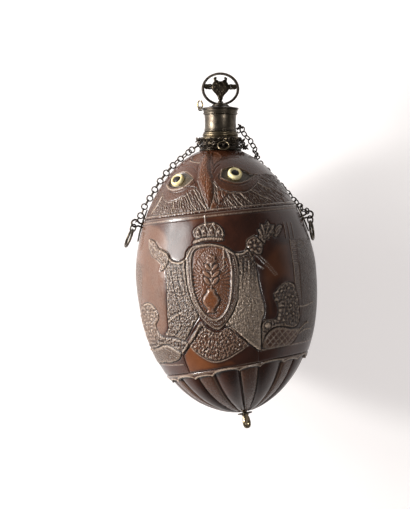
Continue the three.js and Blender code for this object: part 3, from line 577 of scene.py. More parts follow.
def carve_feathers(band):
    """Tiers of slanting strokes on both cheeks, each a groove with a raised quill beside it."""
    above = border_section(band.angles) - 1.4
    cheeks = {
        "left": ([(156, 193), (162, 193), (165.1, 200.4), (169.4, 203), (175.1, 202.3),
                  (181.6, 199.2), (188.7, 194.9), (195.6, 190), (198.4, 188)],
                 [(146.5, 213), (152, 217.2), (160, 218), (170, 217), (180, 216), (190, 214.6),
                  (198, 213.4), (204, 212.4), (207.4, 212)], 30, (-9, 15), (9, 17)),
        "right": ([(213.7, 184), (218.7, 190.1), (224.4, 192.8), (229.6, 194.1), (236.6, 194.2),
                   (243.7, 193.9), (249.4, 191.3), (253.9, 187.1), (257, 182.9), (260, 176),
                   (266, 174.5)],
                  [(210.4, 211.6), (218, 210.8), (228, 209.6), (240, 208.4), (252, 207),
                   (264, 205), (274, 202.4), (282, 198), (285.4, 192), (283, 184), (279, 178)],
                  38, (3, 14), (19, 9)),
    }
    for side, (starts, ends, count, first, last) in cheeks.items():
        top, low = curve(starts), curve(ends)
        outline = np.vstack([top[::6], low[::-6]])
        found = band.inside(outline)
        found = found[band.sections[found] < above[found]]
        band.height[found] -= 0.1
        band.worked[found] = 0.6
        for tier in range(4):
            for k in range(count):
                cell = np.array([k]), np.array([tier])
                jitter = scatter(*cell, 17)[0], scatter(*cell, 18)[0], scatter(*cell, 19)[0]
                share = (k + 0.1 + 0.8 * jitter[0]) / count
                a = top[int(share * (len(top) - 1))]
                b = low[int(share * (len(low) - 1))]
                begin = a + (b - a) * (0.24 * tier + 0.1 * jitter[1])
                slant = np.array(first) + (np.array(last) - np.array(first)) * share
                reach = np.linalg.norm(b - a) * (0.27 + 0.2 * jitter[2]) / np.linalg.norm(slant)
                middle = begin + slant * reach * 0.5 + np.array([0.5, -0.6])
                end = begin + slant * reach
                if not len(band.near(end[None], 1.0)[0]):
                    continue
                depth = 0.4 if k % 4 == tier else 0.24
                band.cut([begin, middle, end], 0.3, depth)
                if k % 4 == tier:
                    shift = np.array([0.9, -0.2])
                    band.cut([begin + shift, middle + shift, end + shift], 0.26, -0.22, pale=0.4)
    for line in (
        [(188, 195.6), (191.6, 203.7), (196.6, 211.6)],
        [(194.4, 191.4), (200.1, 201.6), (206.8, 211)],
        [(182.3, 198.6), (181.4, 204), (180.1, 210)], [(175, 202), (173.6, 207), (172, 212.3)],
        [(163, 197), (158.6, 205), (152, 214)], [(226, 199), (230.4, 204.6), (235.1, 208.7)],
        [(232.3, 195.4), (237, 202), (242.3, 207.3)], [(240, 195), (245, 200), (251, 205.1)],
        [(250.1, 191.6), (259, 196.4), (269.4, 200.9)],
        [(257.3, 184.4), (263, 187.8), (270, 190.6)],
    ):
        band.cut(line, 0.4, -0.34, pale=0.85)
        band.cut([(x - 1, y + 0.5) for x, y in line], 0.34, 0.35)


def carve_face(band):
    """The owl-like face over the moulding: brows, ridge, beak, eyes and feathers."""
    band.warm += 0.22 * smooth(border_section(band.angles) - band.sections, 0, 3)
    carve_feathers(band)
    for side in SOCKETS:
        outline = BAGS[side] + list(reversed(LIDS[side][0]))
        found = band.inside(outline)
        band.worked[found] = 0.35
        band.height[found] += 0.1
        carve_eye(band, side)
    found, share = band.raise_field(RIDGE, 0.55, 2.4, 0.2, 0.75)
    band.chip(found, share, 0.95, 0.16, 61, 1.4)
    band.cut([(197, 179.6), (199.6, 179.2), (202, 179.8)], 0.35, 0.2, pale=0.4)
    band.cut([(209.4, 153), (210.9, 158.7), (210.1, 166), (210.9, 173), (212.6, 178.4)], 0.5, 0.14)
    band.cut([(204.4, 154.4), (200.7, 161), (198.3, 168), (197.6, 174), (198.4, 179)], 0.5, 0.14)
    band.cut([(197.6, 183), (200.3, 191), (203.2, 199.4), (207.6, 210.6)], 0.4, 0.3, pale=0.5)
    band.cut([(212.8, 183.7), (214, 191), (213, 200), (209.5, 210.5)], 0.4, 0.25, pale=0.5)
    band.cut([(205.6, 184), (206.6, 192), (208, 201)], 0.5, 0.15)
    for k in range(46):
        cell = np.array([k]), np.array([3])
        x = 200 + 12 * scatter(*cell, 41)[0] + 2.4 * (k / 46)
        y = 156 + 50 * k / 46
        band.bead(x, y, 0.3 + 0.16 * scatter(*cell, 42)[0], 0.12, 0.25)
    leaf = [(216.4, 189.6), (222, 192), (228, 194), (224, 199.6), (219, 204.4), (217, 197)]
    band.raise_field(leaf, 0.35, 0.8, 0.2, 0.5)
    petal = [(213, 200), (217.4, 205.4), (216.6, 210.2), (210, 211)]
    band.raise_field(petal, 0.2, 0.8, 0.4, 0.6)
    facet = [(191, 162.6), (193.7, 156.8), (200.4, 153.9), (203.6, 155.2), (200.4, 162), (199, 165)]
    band.raise_field(facet, -0.35, 0.8, 0.2, 0.5)
    band.cut([(190.8, 162.2), (195, 163.4), (199.4, 164.3)], 0.6, -0.5, pale=1.0)
    facet = [(211.4, 154), (218, 153.4), (221.6, 158.6), (217, 163), (212, 166)]
    band.raise_field(facet, -0.3, 0.9, 0.3, 0.5)
    band.cuts((
        [(214, 168), (217, 163.6), (222, 160.4), (230, 158.4), (238, 158.6)],
        [(213.6, 174), (216.4, 169), (219.6, 166.4)],
        [(196.6, 173), (194, 169), (189, 166.6), (183, 167.2)],
    ), 0.5, 0.2)
    plain = 1 - smooth(side_run(band), -7.5, -1.0)
    band.height, band.worked, band.pale = band.height * plain, band.worked * plain, band.pale * plain
    section = band.sections
    brow = smooth(section, 2.5, 6) * (1 - smooth(section, 12, 18)) * band.front
    sparse = smooth(chips_at(band.u / 0.9, band.v / 2.6, 5), 0.0, 0.35)
    band.height -= 0.05 * brow * (1 - sparse)


def carve_crown(band):
    found, share = band.raise_field(CROWN, 0.28, 0.5, 0.75, 0.15)
    band.border(CROWN, 0.3, 0.3)
    arches = (
        [(196.6, 238), (195.6, 232.4), (198.4, 228.6), (201, 232.4), (201.6, 237)],
        [(201.8, 237), (201.6, 230.6), (204, 227), (206.8, 230.6), (207, 236.6)],
        [(208.4, 236.6), (208.6, 230.2), (211.4, 226.4), (214, 230), (214.4, 236.6)],
        [(215.4, 236.8), (216, 231), (218.4, 228.6), (220.6, 231.6), (221, 236.6)],
    )
    for arch in arches:
        band.cut(arch, 0.4, 0.4)
        band.cut([(x + 0.9, y) for x, y in arch], 0.34, -0.2, pale=0.45)
    pearls = ((198.4, 233), (204.2, 232), (211.4, 231.4), (218.4, 232.6), (222.6, 235.4),
              (205.6, 225.4), (213.6, 225))
    for x, y in pearls:
        band.bead(x, y, 0.62, 0.5, 0.8)
    found, share = band.raise_field(CROWN_BAND, 0.3, 0.45, 0.7, 0.4)
    band.border(CROWN_BAND, 0.3, 0.25)
    band.beads([(196, 242.2), (206.4, 239.5), (221, 239.4)], 2.4, 0.5, 0.35, pale=0.6)
    band.cut([(205.5, 223.8), (205.3, 219), (205.2, 216.6)], 0.4, -0.35, pale=0.9)


def carve_shield(band):
    """The beaded oval: two ridges with pearls between, rays round a vase of flowers."""
    found, share = band.raise_field(SHIELD_OUTER, 0.35, 0.5, 0.8, 0.1)
    band.border(SHIELD_OUTER, 0.4, 0.4)
    band.beads([(190, 254), (189, 263), (189.7, 275), (191.2, 286), (195, 298.6), (201.6, 310.4),
                (210.6, 319.4), (217.4, 322.6), (223.6, 318), (229.6, 308.6), (233.2, 297),
                (234.4, 284), (234.2, 268), (231, 256)], 2.3, 0.42, 0.22, pale=0.1)
    found, share = band.raise_field(SHIELD_BORDER, -0.4, 0.5, 0.55, 0.85)
    band.cut(SHIELD_BORDER, 0.4, -0.4, closed=True, pale=0.5)
    (x, y), wide, tall = MEDALLION_MIDDLE, MEDALLION_HALF_WIDTH, MEDALLION_HALF_HEIGHT
    dx, dy = (band.across[found] - x) / wide, (band.down[found] - y) / tall
    angle, radius = np.arctan2(dy, dx), np.hypot(dx, dy)
    spokes = np.abs(((angle / (2 * math.pi) * MEDALLION_RAYS) % 1) - 0.5) * 2
    ring = smooth(radius, 0.5, 0.56) * (1 - smooth(radius, 0.9, 0.95))
    band.height[found] -= 0.28 * ring * (1 - smooth(spokes, 0.1, 0.6))
    vase = [(206.4, 311), (207.4, 307.6), (203.6, 303), (202.6, 296.6), (206.4, 291.6),
            (207.6, 287.6), (214.6, 287.6), (215.8, 291.6), (219.4, 296.6), (218.4, 303),
            (214.8, 307.6), (215.8, 311)]
    band.raise_field(vase, 0.7, 1.1, 0.3, 0.9)
    band.border(vase, 0.3, 0.45)
    for y in (293, 296, 303.6):
        band.cut([(203.6, y), (211, y + 0.9), (218.6, y)], 0.3, 0.2)
    band.cut([(211.2, 288), (211.4, 276), (211, 264)], 0.45, -0.5, pale=0.4)
    for bend in (-1, 1):
        for y, reach, lift in ((284, 7.5, 8), (277, 8.5, 7), (270, 7, 7)):
            tip = (211.2 + bend * reach, y - lift)
            leaf = [(211.2, y), (211.2 + bend * reach * 0.35, y - lift * 0.75), tip,
                    (211.2 + bend * reach * 0.75, y - lift * 0.25)]
            band.raise_field(leaf, 0.42, 0.7, 0.3, 0.8)
            band.cut([(211.2, y), (211.2 + bend * reach * 0.5, y - lift * 0.5), tip], 0.28, 0.22)
            band.border(leaf, 0.25, 0.35)
    for petal in range(6):
        turn = petal * math.pi / 3 + 0.3
        band.bead(211 + 3.1 * math.cos(turn), 259.4 + 3.4 * math.sin(turn), 0.95, 0.55)
    band.bead(211, 259.4, 0.85, 0.75)


def carve_mantles(band):
    for outline, turn, seed in ((MANTLE_LEFT, 0.06, 3), (MANTLE_RIGHT, -0.04, 4)):
        found, share = band.raise_field(outline, 0.3, 0.5, 0.95)
        band.chip(found, share, 1.0, 0.26, seed, 1.6, turn)
        band.hatch(found, share, 2.3, 0.14, turn + (0.12 if seed == 3 else -0.06), 0.5)
        # Painted glints: the mantles' flecks are painted pale, the left ones brightly where the lamps
        # fall, and the lower right mantle is painted paler all over as a painted highlight.
        low = smooth(band.down[found], 262, 290)
        level = 0.75 if seed == 3 else 0.38 + 1.2 * low
        band.flecks(found, share, 0.85, 0.2 + 0.12 * low * (seed == 4), seed, 1.5, level, 1.7)
        if seed == 4:
            band.rub(found, 0.75 * low * share)
        band.border(outline, 0.4, 0.12)
    # The mantles' scalloped upper edges: raised lines painted pale, a painted highlight on their lit
    # tops.
    band.cuts((
        [(164.7, 252), (168.2, 254.6), (170.2, 258.8), (174.6, 262.4), (181.3, 262.8), (187, 258.8),
         (190.4, 252.6), (192.6, 248.6)],
        [(226, 249.4), (230, 252.4), (235, 254.2), (241.6, 253.8), (246.4, 250.6)],
    ), 0.5, -0.5, pale=0.85)
    band.cuts((
        [(172.2, 269), (174.4, 284), (178, 297), (181.9, 308.6)],
        [(177.4, 266), (179.6, 280), (184, 296), (189, 309)],
        [(181.9, 264.6), (184.4, 280), (188.6, 296), (194.6, 309)],
        [(168.7, 318.6), (173.3, 313.4), (181.9, 309.4)],
        [(180, 311), (181, 318), (182.8, 324), (177, 333)],
        [(231, 258), (230.6, 266)],
        [(242.4, 258), (241.8, 272), (241.2, 288)],
        [(252.2, 258), (252.8, 272), (253.6, 290)],
        [(248.7, 297.5), (249.8, 303), (249.5, 310)],
        [(257.8, 303.8), (259, 309), (259.5, 314.5)],
    ), 0.45, 0.45)
    band.cuts((
        [(247.5, 262), (247.3, 275), (246.6, 290)],
        [(237.8, 266), (237.6, 284), (236.4, 299.6)],
        [(223, 247.6), (223.2, 258), (222.6, 268)],
        [(170, 320), (176, 314.6), (182.6, 311)],
    ), 0.36, -0.4, pale=0.9)


def carve_supporters(band):
    """The lions at both sides, the bows over them, the fan and the rods."""
    for outline, seed in ((BOW_LEFT, 11), (BOW_RIGHT, 12)):
        found, share = band.raise_field(outline, 0.35, 0.6, 0.9)
        band.chip(found, share, 1.3, 0.3, seed)
        band.flecks(found, share, 1.3, 0.2, seed, 0.8, 0.4 if seed == 11 else 0.2)
        band.border(outline, 0.4, 0.1)
    band.raise_field(SMALL_LEAF, 0.25, 0.5, 0.6)
    band.border(SMALL_LEAF, 0.35, 0.1)
    tips = ((257, 234.6), (259.4, 229), (263.6, 225.6), (268.8, 226.4), (271.4, 231.6),
            (268.4, 236.4))
    for tip in tips:
        band.cut([(262, 240), ((262 + tip[0]) / 2 + 0.8, (240 + tip[1]) / 2), tip], 0.34, 0.35)
    band.cuts((
        [(150.6, 240.4), (154, 246), (158, 251)],
        [(157.2, 241), (160, 246), (163.6, 251)],
        [(155, 258), (160, 262), (166, 268)],
        [(253, 262), (262, 268)],
    ), 0.4, -0.35, pale=0.7)
    found, share = band.raise_field(ROSETTE, 0.3, 0.5, 0.8, 0.2)
    band.cut(ROSETTE, 0.5, 0.5, closed=True)
    x, y = ROSETTE_MIDDLE
    for petal in range(8):
        turn = (petal + 0.3) * math.pi / 4
        away = np.array([math.cos(turn), math.sin(turn)])
        band.cut([(x, y) + away * 2, (x, y) + away * 7], 0.42, 0.45, straight=True)
        turn += math.pi / 8
        band.bead(x + 5.2 * math.cos(turn), y + 5.4 * math.sin(turn), 0.5, 0.3, 0.5)
    band.bead(x, y, 0.8, 0.4, 0.5)
    for line, rub in (
        ([(243, 251.4), (245, 247), (245.6, 240), (252.6, 235.6)], 1.0),
        ([(255, 239.8), (258, 241.6), (261.4, 244.6)], 0.8),
        ([(249, 251.6), (255.4, 256), (262, 262.4)], 0.55),
        ([(251.6, 250.6), (258, 255.6), (264.4, 261)], 0.4),
        ([(260.8, 240), (259.4, 235), (257.4, 231)], 0.45),
        ([(261.6, 239), (262, 233), (260.4, 227)], 0.45),
        ([(262.6, 238.6), (265, 231), (266.4, 224.4)], 0.45),
        ([(263.4, 239.4), (267.6, 233), (271.4, 228)], 0.4),
        ([(264, 240.6), (268, 237.6), (271.4, 234.6)], 0.4),
        ([(273.4, 235.4), (275.4, 230.4), (279, 227.4)], 0.4),
    ):
        band.cut(line, 0.32, -0.35, pale=rub)
    # The tassel's two cords of beads, painted pale as glints.
    for shift in (0, 2.2):
        band.beads([(262 + shift, 262.4 - shift * 0.6), (268 + shift, 268), (273.4 + shift, 275)],
                   1.9, 0.42, 0.26, pale=0.4)
    found, share = band.raise_field(FAN, 0.25, 0.6, 0.75, 0.6)
    band.chip(found, share, 1.2, 0.35, 21, 1.4, 0.5)
    side = smooth(band.across[found], 218, 226)
    # The pale flecks on the fan's left part are painted glints.
    band.flecks(found, share * (1 - side), 1.6, 0.3, 21, -1.0, 0.9, 1.5)
    band.hatch(found, share * side, 2.4, 0.22, 0.8, 0.5, pale=0.2)
    band.border(FAN, 0.25, 0.2)
    for part in np.linspace(0.08, 0.92, 7):
        tip = np.array([193 + 52 * part, 347.4 + 10 * math.sin(part * math.pi) - 5 * part])
        band.cut([(214 + 5 * part, 327), tip], 0.36, 0.25, straight=True)
    band.cut([(190, 343.6), (196, 349.4), (203, 354.4), (210, 358), (217, 358.8), (226, 356.2),
              (236, 350.2), (246.6, 342.8)], 0.4, -0.3, pale=0.8)
    for line in ([(200.4, 323.6), (183.6, 350.6)], [(226.4, 321.6), (258.4, 346.4)]):
        band.cut(line, 0.95, -0.75, straight=True)
        offset = 1.7 if line[0][0] < 210 else -1.7
        band.cut([(x + offset, y + 1.3) for x, y in line], 0.45, 0.45, straight=True)
        band.cut([(x - offset * 0.3, y - 0.3) for x, y in line], 0.3, -0.1, straight=True, pale=0.7)
    for x, y in ((241.2, 331), (193.6, 335.6), (200.2, 323.8), (226.8, 322)):
        band.bead(x, y, 1.0, 0.6, 0.5)
    band.cut([(184, 352), (186.4, 360), (190, 369.4)], 0.45, 0.4)
    band.cut([(259.8, 322), (259.6, 336), (259.4, 348)], 0.5, 0.55)
    band.cut([(257.8, 348), (257.6, 354), (257.4, 359)], 0.35, 0.2)
    for outline, seed in ((LION_LEFT, 31), (LION_RIGHT, 32)):
        found, share = band.raise_field(outline, 0.35, 0.7, 0.9)
        band.chip(found, share, 1.5, 0.4, seed, 1.2)
        band.flecks(found, share, 1.5, 0.2, seed, 0.4, 0.3 if seed == 31 else 0.16)
        band.border(outline, 0.4, 0.15 if seed == 31 else 0.4)
    found, share = band.raise_field(HAUNCH_LEFT, 0.45, 1.2, 0.8)
    band.hatch(found, share, 2.1, 0.3, 2.05, pale=0.6)
    band.border(HAUNCH_LEFT, 0.35, 0.8)
    found, share = band.raise_field(HAUNCH_RIGHT, 0.5, 1.2, 0.35, 0.2)
    band.hatch(found, share, 4.4, 0.24, 0.75, 0.26, pale=1.0)
    band.hatch(found, share, 4.4, 0.24, -0.65, 0.26, pale=1.0)
    band.border(HAUNCH_RIGHT, 0.35, 0.9)
    # A raised knob on the lion's paw, painted pale as a glint.
    band.bead(265.4, 323.2, 1.5, 0.9, 0.9)
    band.cuts((
        [(296.4, 329), (301.2, 324.2), (305.4, 321)],
        [(297, 331.6), (303, 328), (309, 327.4)],
        [(296.6, 305), (303, 304.6), (312, 300.8)],
        [(145.6, 304), (150.8, 303), (156, 308)],
    ), 0.45, -0.4, pale=0.9)
    band.bead(305.4, 320.8, 0.9, 0.5)
    # Curls of the mane: rings with a bead each, the beads and the chest's knobs painted pale as
    # glints.
    curls = (
        (279, 290), (286, 287), (283, 296), (290, 295), (280.6, 304), (288, 304), (293, 302),
        (284, 312), (291, 312), (149, 311), (153, 318), (148, 322), (153, 329),
    )
    for x, y in curls:
        ring = [(x + 1.9 * math.cos(t * 1.05), y + 1.9 * math.sin(t * 1.05)) for t in range(6)]
        band.cut(ring, 0.38, 0.42, closed=True)
        band.bead(x, y, 0.6, 0.4, 0.75)
    chest = ((278.5, 303.5), (277.6, 308.6), (277, 313), (276.4, 316.6), (281, 318), (273.6, 298.4))
    for x, y in chest:
        band.bead(x, y, 0.75, 0.45, 0.85)
    for line, rub in (
        ([(271.4, 292.4), (274.6, 290.4), (277.6, 286), (281, 282.6), (286, 281.8), (291, 284.4)],
         0.7),
        ([(262, 318.6), (270, 317.4), (276, 319.6)], 0.6),
    ):
        band.cut(line, 0.4, -0.3, pale=rub)
    band.cut([(272, 296.4), (274.4, 300.4), (277.4, 300.6)], 0.45, 0.6)


def carve_edges(band):
    """The dull side panels, the ground line, the toothed edges and the scroll at the right."""
    for panel in (
        [(294.4, 240), (305, 237), (315, 240), (319.4, 262), (320.4, 290), (319, 318), (315, 336),
         (309, 338.4), (300, 340.4), (298, 326), (299, 300), (297, 270)],
        [(134, 262), (141, 262), (144, 275), (143, 300), (141, 312), (137, 320), (134, 300)],
    ):
        found, share = band.field(panel, 1.5)
        band.lift("worked", 0.75 * share, found)
        band.hatch(found, share, 1.9, 0.1, math.pi / 2 + 0.06, 0.6)
    band.cut([(152, 363), (170, 363.4), (184, 362)], 0.4, -0.3, pale=0.7)
    band.cut([(259.6, 347.4), (280.3, 344), (296, 341.4), (309, 339.4)], 0.4, -0.35, pale=0.8)
    band.cut([(190, 371.4), (222, 366.2), (247, 360.4), (268.7, 357.6), (294.5, 353.6),
              (306, 350)], 0.4, -0.3, pale=0.5)
    for x0, x1, y0, y1 in ((288.6, 293.6, 240, 262), (292.6, 296.6, 262, 298)):
        for y in np.arange(y0, y1, 1.9):
            lean = (y - y0) * 0.06
            band.cut([(x0 + lean, y), (x1 + lean, y + 0.2)], 0.36, 0.42, straight=True)
            band.cut([(x0 + lean, y + 0.95), (x1 + lean, y + 1.15)], 0.3, -0.2, straight=True,
                     pale=0.6)
    band.cut([(287.8, 240), (289.6, 252), (291.6, 266), (293, 282)], 0.42, -0.36, pale=0.85)
    band.cut([(296.8, 262), (298, 280), (299.4, 298)], 0.35, 0.2, pale=0.4)
    scroll = [(289, 241), (294, 243.6), (299, 241), (302, 244.4), (298, 248), (293, 246.4),
              (290, 249)]
    band.cut(scroll, 0.4, 0.25, pale=0.5)
    for x in (281.6, 285.4, 289.4):
        band.cut([(x, 223.6), (x + 1.4, 231), (x + 2.6, 238)], 0.45, -0.3, pale=0.3)
    for y in np.arange(300, 336, 1.9):
        band.cut([(141.6 + (y - 300) * 0.1, y), (144.6 + (y - 300) * 0.1, y + 0.2)], 0.35, 0.2,
                 straight=True)
    found, share = band.field(BARE_PATCH, 2.0)
    share = share * (0.95 - 0.55 * smooth(band.across[found], 204, 222))
    band.lift("warm", share, found)
    for outline in (
        [(259, 262), (266, 250), (276, 240), (287, 244), (290, 262), (292, 281), (283, 280),
         (275, 285),
         (270.6, 293), (273, 312), (265, 316), (263, 302), (259, 284)],
        [(187, 217), (206, 215), (226, 213), (223, 222), (206, 222), (192, 229)],
        [(137, 226), (150, 222), (163, 228), (170, 240), (169, 262), (167.6, 290), (169.4, 318),
         (166, 333),
         (150, 345), (140, 326), (134, 296), (133, 262)],
    ):
        left = outline[0][0] < 180
        found, share = band.field(outline, 2.6 if left else 4.5)
        band.lift("warm", (0.42 if left else 0.5) * share, found)
        # The left panel is painted paler: a painted sheen where the left lamps light it.
        if left:
            band.rub(found, 0.14 * share)


def side_run(band):
    """Distance along the skin from the upright line at each side of the nut, towards the back."""
    around = np.abs((band.angles + math.pi) % (2 * math.pi) - math.pi)
    return (around - SIDE_LINE) * egg_radius(band.sections)


def carve_sides(band):
    """An upright moulding that closes the carved belly at each side."""
    run = side_run(band)
    for offset, height in ((-1.0, 0.04), (0.0, -0.4), (1.0, 0.04)):
        band.height += height * bell(run - offset, 0.42)
    for offset in (-1.0, 1.0):
        band.lift("pale", 0.6 * bell(run - offset, 0.3))


def carve_belly(band):
    carve_mantles(band)
    carve_shield(band)
    carve_crown(band)
    carve_supporters(band)
    carve_edges(band)
    carve_sides(band)


def blurred(grid, reach):
    """A grid averaged over its neighbours, round the nut and along it."""
    for axis in (0, 1):
        total = np.cumsum(np.pad(grid,
                                 [(reach + 1, reach) if k == axis else (0, 0) for k in (0, 1)],
                                 mode="edge" if axis == 0 else "wrap"), axis=axis)
        size = grid.shape[axis]
        high = np.take(total, range(2 * reach + 1, 2 * reach + 1 + size), axis=axis)
        low = np.take(total, range(0, size), axis=axis)
        grid = (high - low) / (2 * reach + 1)
    return grid


def grid_faces(rows, columns, wrap_rows=False, first=0):
    """Quads of a grid whose columns close round."""
    row = np.arange(rows if wrap_rows else rows - 1)[:, None]
    column = np.arange(columns)[None]
    after, right = (row + 1) % rows, (column + 1) % columns
    corners = (
        row * columns + column,
        row * columns + right,
        after * columns + right,
        after * columns + column,
    )
    return (np.stack([c.ravel() for c in np.broadcast_arrays(*corners)], 1) + first).tolist()


def outward(spots, faces):
    """The faces, turned round if together they enclose a negative volume."""
    fans = np.array([(f[0], f[k], f[k + 1]) for f in faces for k in range(1, len(f) - 1)])
    a, b, c = (spots[fans[:, k]] for k in range(3))
    volume = np.einsum("ij,ij->i", a, np.cross(b, c)).sum()
    return faces if volume > 0 else [tuple(reversed(f)) for f in faces]


def sweep(rows, closed=False):
    """One closed body through rows of points; unless closed, its two ends are drawn to points."""
    rows = np.array(rows, float)
    count, columns = rows.shape[:2]
    spots = rows.reshape(-1, 3)
    faces = grid_faces(count, columns, closed)
    if not closed:
        first, last = len(spots), len(spots) + 1
        spots = np.vstack([spots, rows[0].mean(0), rows[-1].mean(0)])
        base = (count - 1) * columns
        for k in range(columns):
            right = (k + 1) % columns
            faces.append((first, right, k))
            faces.append((last, base + k, base + right))
    return spots, outward(spots, faces)


def softened(corners, size, closed=False):
    """A profile with its corners rounded."""
    corners = [np.array(c, float) for c in corners]
    count = len(corners)
    spots = []
    for k, corner in enumerate(corners):
        if not closed and k in (0, count - 1):
            spots.append(corner)
            continue
        before, after = corners[k - 1], corners[(k + 1) % count]
        back, ahead = before - corner, after - corner
        lengths = [max(np.linalg.norm(way), 1e-9) for way in (back, ahead)]
        reach = [min(size, length * 0.48) / length for length in lengths]
        start, end = corner + back * reach[0], corner + ahead * reach[1]
        for t in (0, 0.25, 0.5, 0.75, 1):
            spots.append(bent(start, corner, end, t))
    return spots


def turned(profile, columns=128, closed=False, frame=None, wave=None):
    """A body turned about Z from (radius, height) spots; frame is (centre, x, y, z)."""
    turn = np.linspace(0, 2 * math.pi, columns, endpoint=False)
    rows = []
    for radius, height in profile:
        reach = radius + (wave(turn, radius, height) if wave else 0)
        rows.append(np.stack([reach * np.cos(turn), reach * np.sin(turn),
                              np.full(columns, height)], 1))
    if not closed:
        rows = [row for row, (radius, _) in zip(rows, profile) if radius > 1e-6]
    spots, faces = sweep(rows, closed)
    if not closed:
        for place, (radius, height) in ((-2, profile[0]), (-1, profile[-1])):
            if radius <= 1e-6:
                spots[place] = (0, 0, height)
    if frame:
        centre, x, y, z = (np.array(v, float) for v in frame)
        spots = centre + spots[:, :1] * x + spots[:, 1:2] * y + spots[:, 2:] * z
    return spots, outward(spots, faces)


def frames_along(line, closed):
    """A direction and two unit vectors across it at each spot of a line, without twist."""
    if closed:
        ways = np.roll(line, -1, 0) - np.roll(line, 1, 0)
    else:
        ways = np.gradient(line, axis=0)
    ways /= np.linalg.norm(ways, axis=1)[:, None]
    first = np.cross(ways[0], (0.0, 0.0, 1.0))
    if np.linalg.norm(first) < 0.2:
        first = np.cross(ways[0], (0.0, 1.0, 0.0))
    sides = [first / np.linalg.norm(first)]
    for way in ways[1:]:
        side = sides[-1] - way * (sides[-1] @ way)
        sides.append(side / np.linalg.norm(side))
    sides = np.array(sides)
    if closed:
        last = sides[-1] - ways[0] * (sides[-1] @ ways[0])
        slip = math.atan2(np.cross(sides[0], last) @ ways[0], sides[0] @ last)
        turn = -slip * np.arange(len(line)) / len(line)
        third = np.cross(ways, sides)
        sides = sides * np.cos(turn)[:, None] + third * np.sin(turn)[:, None]
    return ways, sides, np.cross(ways, sides)


def rod(line, radius, closed=False, corners=14):
    """A round wire along a line of spots, its ends domed."""
    line = np.array(line, float)
    radius = np.broadcast_to(np.asarray(radius, float), (len(line),)).copy()
    ways, sides, thirds = frames_along(line, closed)
    if not closed:
        head = [line[0] - ways[0] * radius[0] * s for s in (0.9, 0.55)]
        tail = [line[-1] + ways[-1] * radius[-1] * s for s in (0.55, 0.9)]
        line = np.vstack([head, line, tail])
        radius = np.concatenate([[radius[0] * 0.44, radius[0] * 0.84], radius,
                                 [radius[-1] * 0.84, radius[-1] * 0.44]])
        sides = np.vstack([sides[:1]] * 2 + [sides] + [sides[-1:]] * 2)
        thirds = np.vstack([thirds[:1]] * 2 + [thirds] + [thirds[-1:]] * 2)
    turn = np.linspace(0, 2 * math.pi, corners, endpoint=False)
    rows = (
        line[:, None]
        + (radius[:, None] * np.cos(turn))[..., None] * sides[:, None]
        + (radius[:, None] * np.sin(turn))[..., None] * thirds[:, None]
    )
    return sweep(rows, closed)


def hoop(centre, x, y, radius, wire, steps=64, start=0.0, stop=2 * math.pi, corners=14):
    """A ring of round wire in the plane of x and y, or an open piece of one."""
    closed = stop - start > 2 * math.pi - 1e-6
    turn = np.linspace(start, stop, steps, endpoint=not closed)
    line = centre + radius * (np.cos(turn)[:, None] * x + np.sin(turn)[:, None] * y)
    return rod(line, wire, closed, corners)


def ball(centre, size, columns=24, rows=13, x=(1, 0, 0), y=(0, 1, 0), z=(0, 0, 1)):
    """A rounded knob with three half sizes."""
    profile = [(math.sin(t), -math.cos(t)) for t in np.linspace(0, math.pi, rows)]
    profile[0], profile[-1] = (0, -1), (0, 1)
    a, b, c = (np.array(v, float) * s for v, s in zip((x, y, z), size))
    return turned(profile, columns, frame=(centre, a, b, c))


def direction(way):
    way = np.array(way, float)
    return way / np.linalg.norm(way)


def make(name, parts, finish, body="flask", nodes=(), slot=None, fields=None, sharp=40):
    """A finished piece: one mesh in the frame's place, riding on a body."""
    spots, faces, first = [], [], 0
    for part_spots, part_faces in parts:
        spots.append(part_spots)
        faces += [tuple(k + first for k in f) for f in part_faces]
        first += len(part_spots)
    mesh = bpy.data.meshes.new(name)
    mesh.from_pydata((np.vstack(spots) * MM).tolist(), [], faces)
    mesh.shade_smooth()
    if sharp:
        mesh.set_sharp_from_angle(angle=sharp * DEG)
    for field, values in (fields or {}).items():
        layer = mesh.attributes.new(field, "FLOAT", "POINT")
        layer.data.foreach_set("value", np.asarray(values, np.float32))
    mesh.materials.append(palette().get(finish))
    piece = bpy.data.objects.new(name, mesh)
    bpy.context.collection.objects.link(piece)
    place(piece, body, nodes, slot)
    return piece


def place(piece, body, nodes, slot):
    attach(piece, body)
    if nodes:
        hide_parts(*nodes)


class Value:
    """An output of a node; sums and products of it add Math nodes."""

    def __init__(self, nodes, socket):
        self.nodes, self.socket = nodes, socket

    def __add__(self, other):
        return self.nodes.add("ShaderNodeMath", {"operation": "ADD"}, {0: self, 1: other})

    def __mul__(self, other):
        return self.nodes.add("ShaderNodeMath", {"operation": "MULTIPLY"}, {0: self, 1: other})


class Nodes:
    """A tree that takes nodes with their settings and the values or links of their sockets."""

    def __init__(self, tree):
        self.tree = tree
        tree.nodes.clear()

    def add(self, kind, settings=None, values=None, output=0):
        node = self.tree.nodes.new(kind)
        for key, value in (settings or {}).items():
            setattr(node, key, value)
        for key, value in (values or {}).items():
            self.fill(node.inputs[key], value)
        return Value(self, node.outputs[output]) if len(node.outputs) else None

    def fill(self, socket, value):
        if isinstance(value, Value):
            self.tree.links.new(value.socket, socket)
        else:
            socket.default_value = value

    def step(self, value, low, high, to_low=0.0, to_high=1.0):
        """A value taken from one range to another and held at its ends."""
        return self.add("ShaderNodeMapRange", {"interpolation_type": "SMOOTHSTEP"},
                        {0: value, 1: low, 2: high, 3: to_low, 4: to_high})


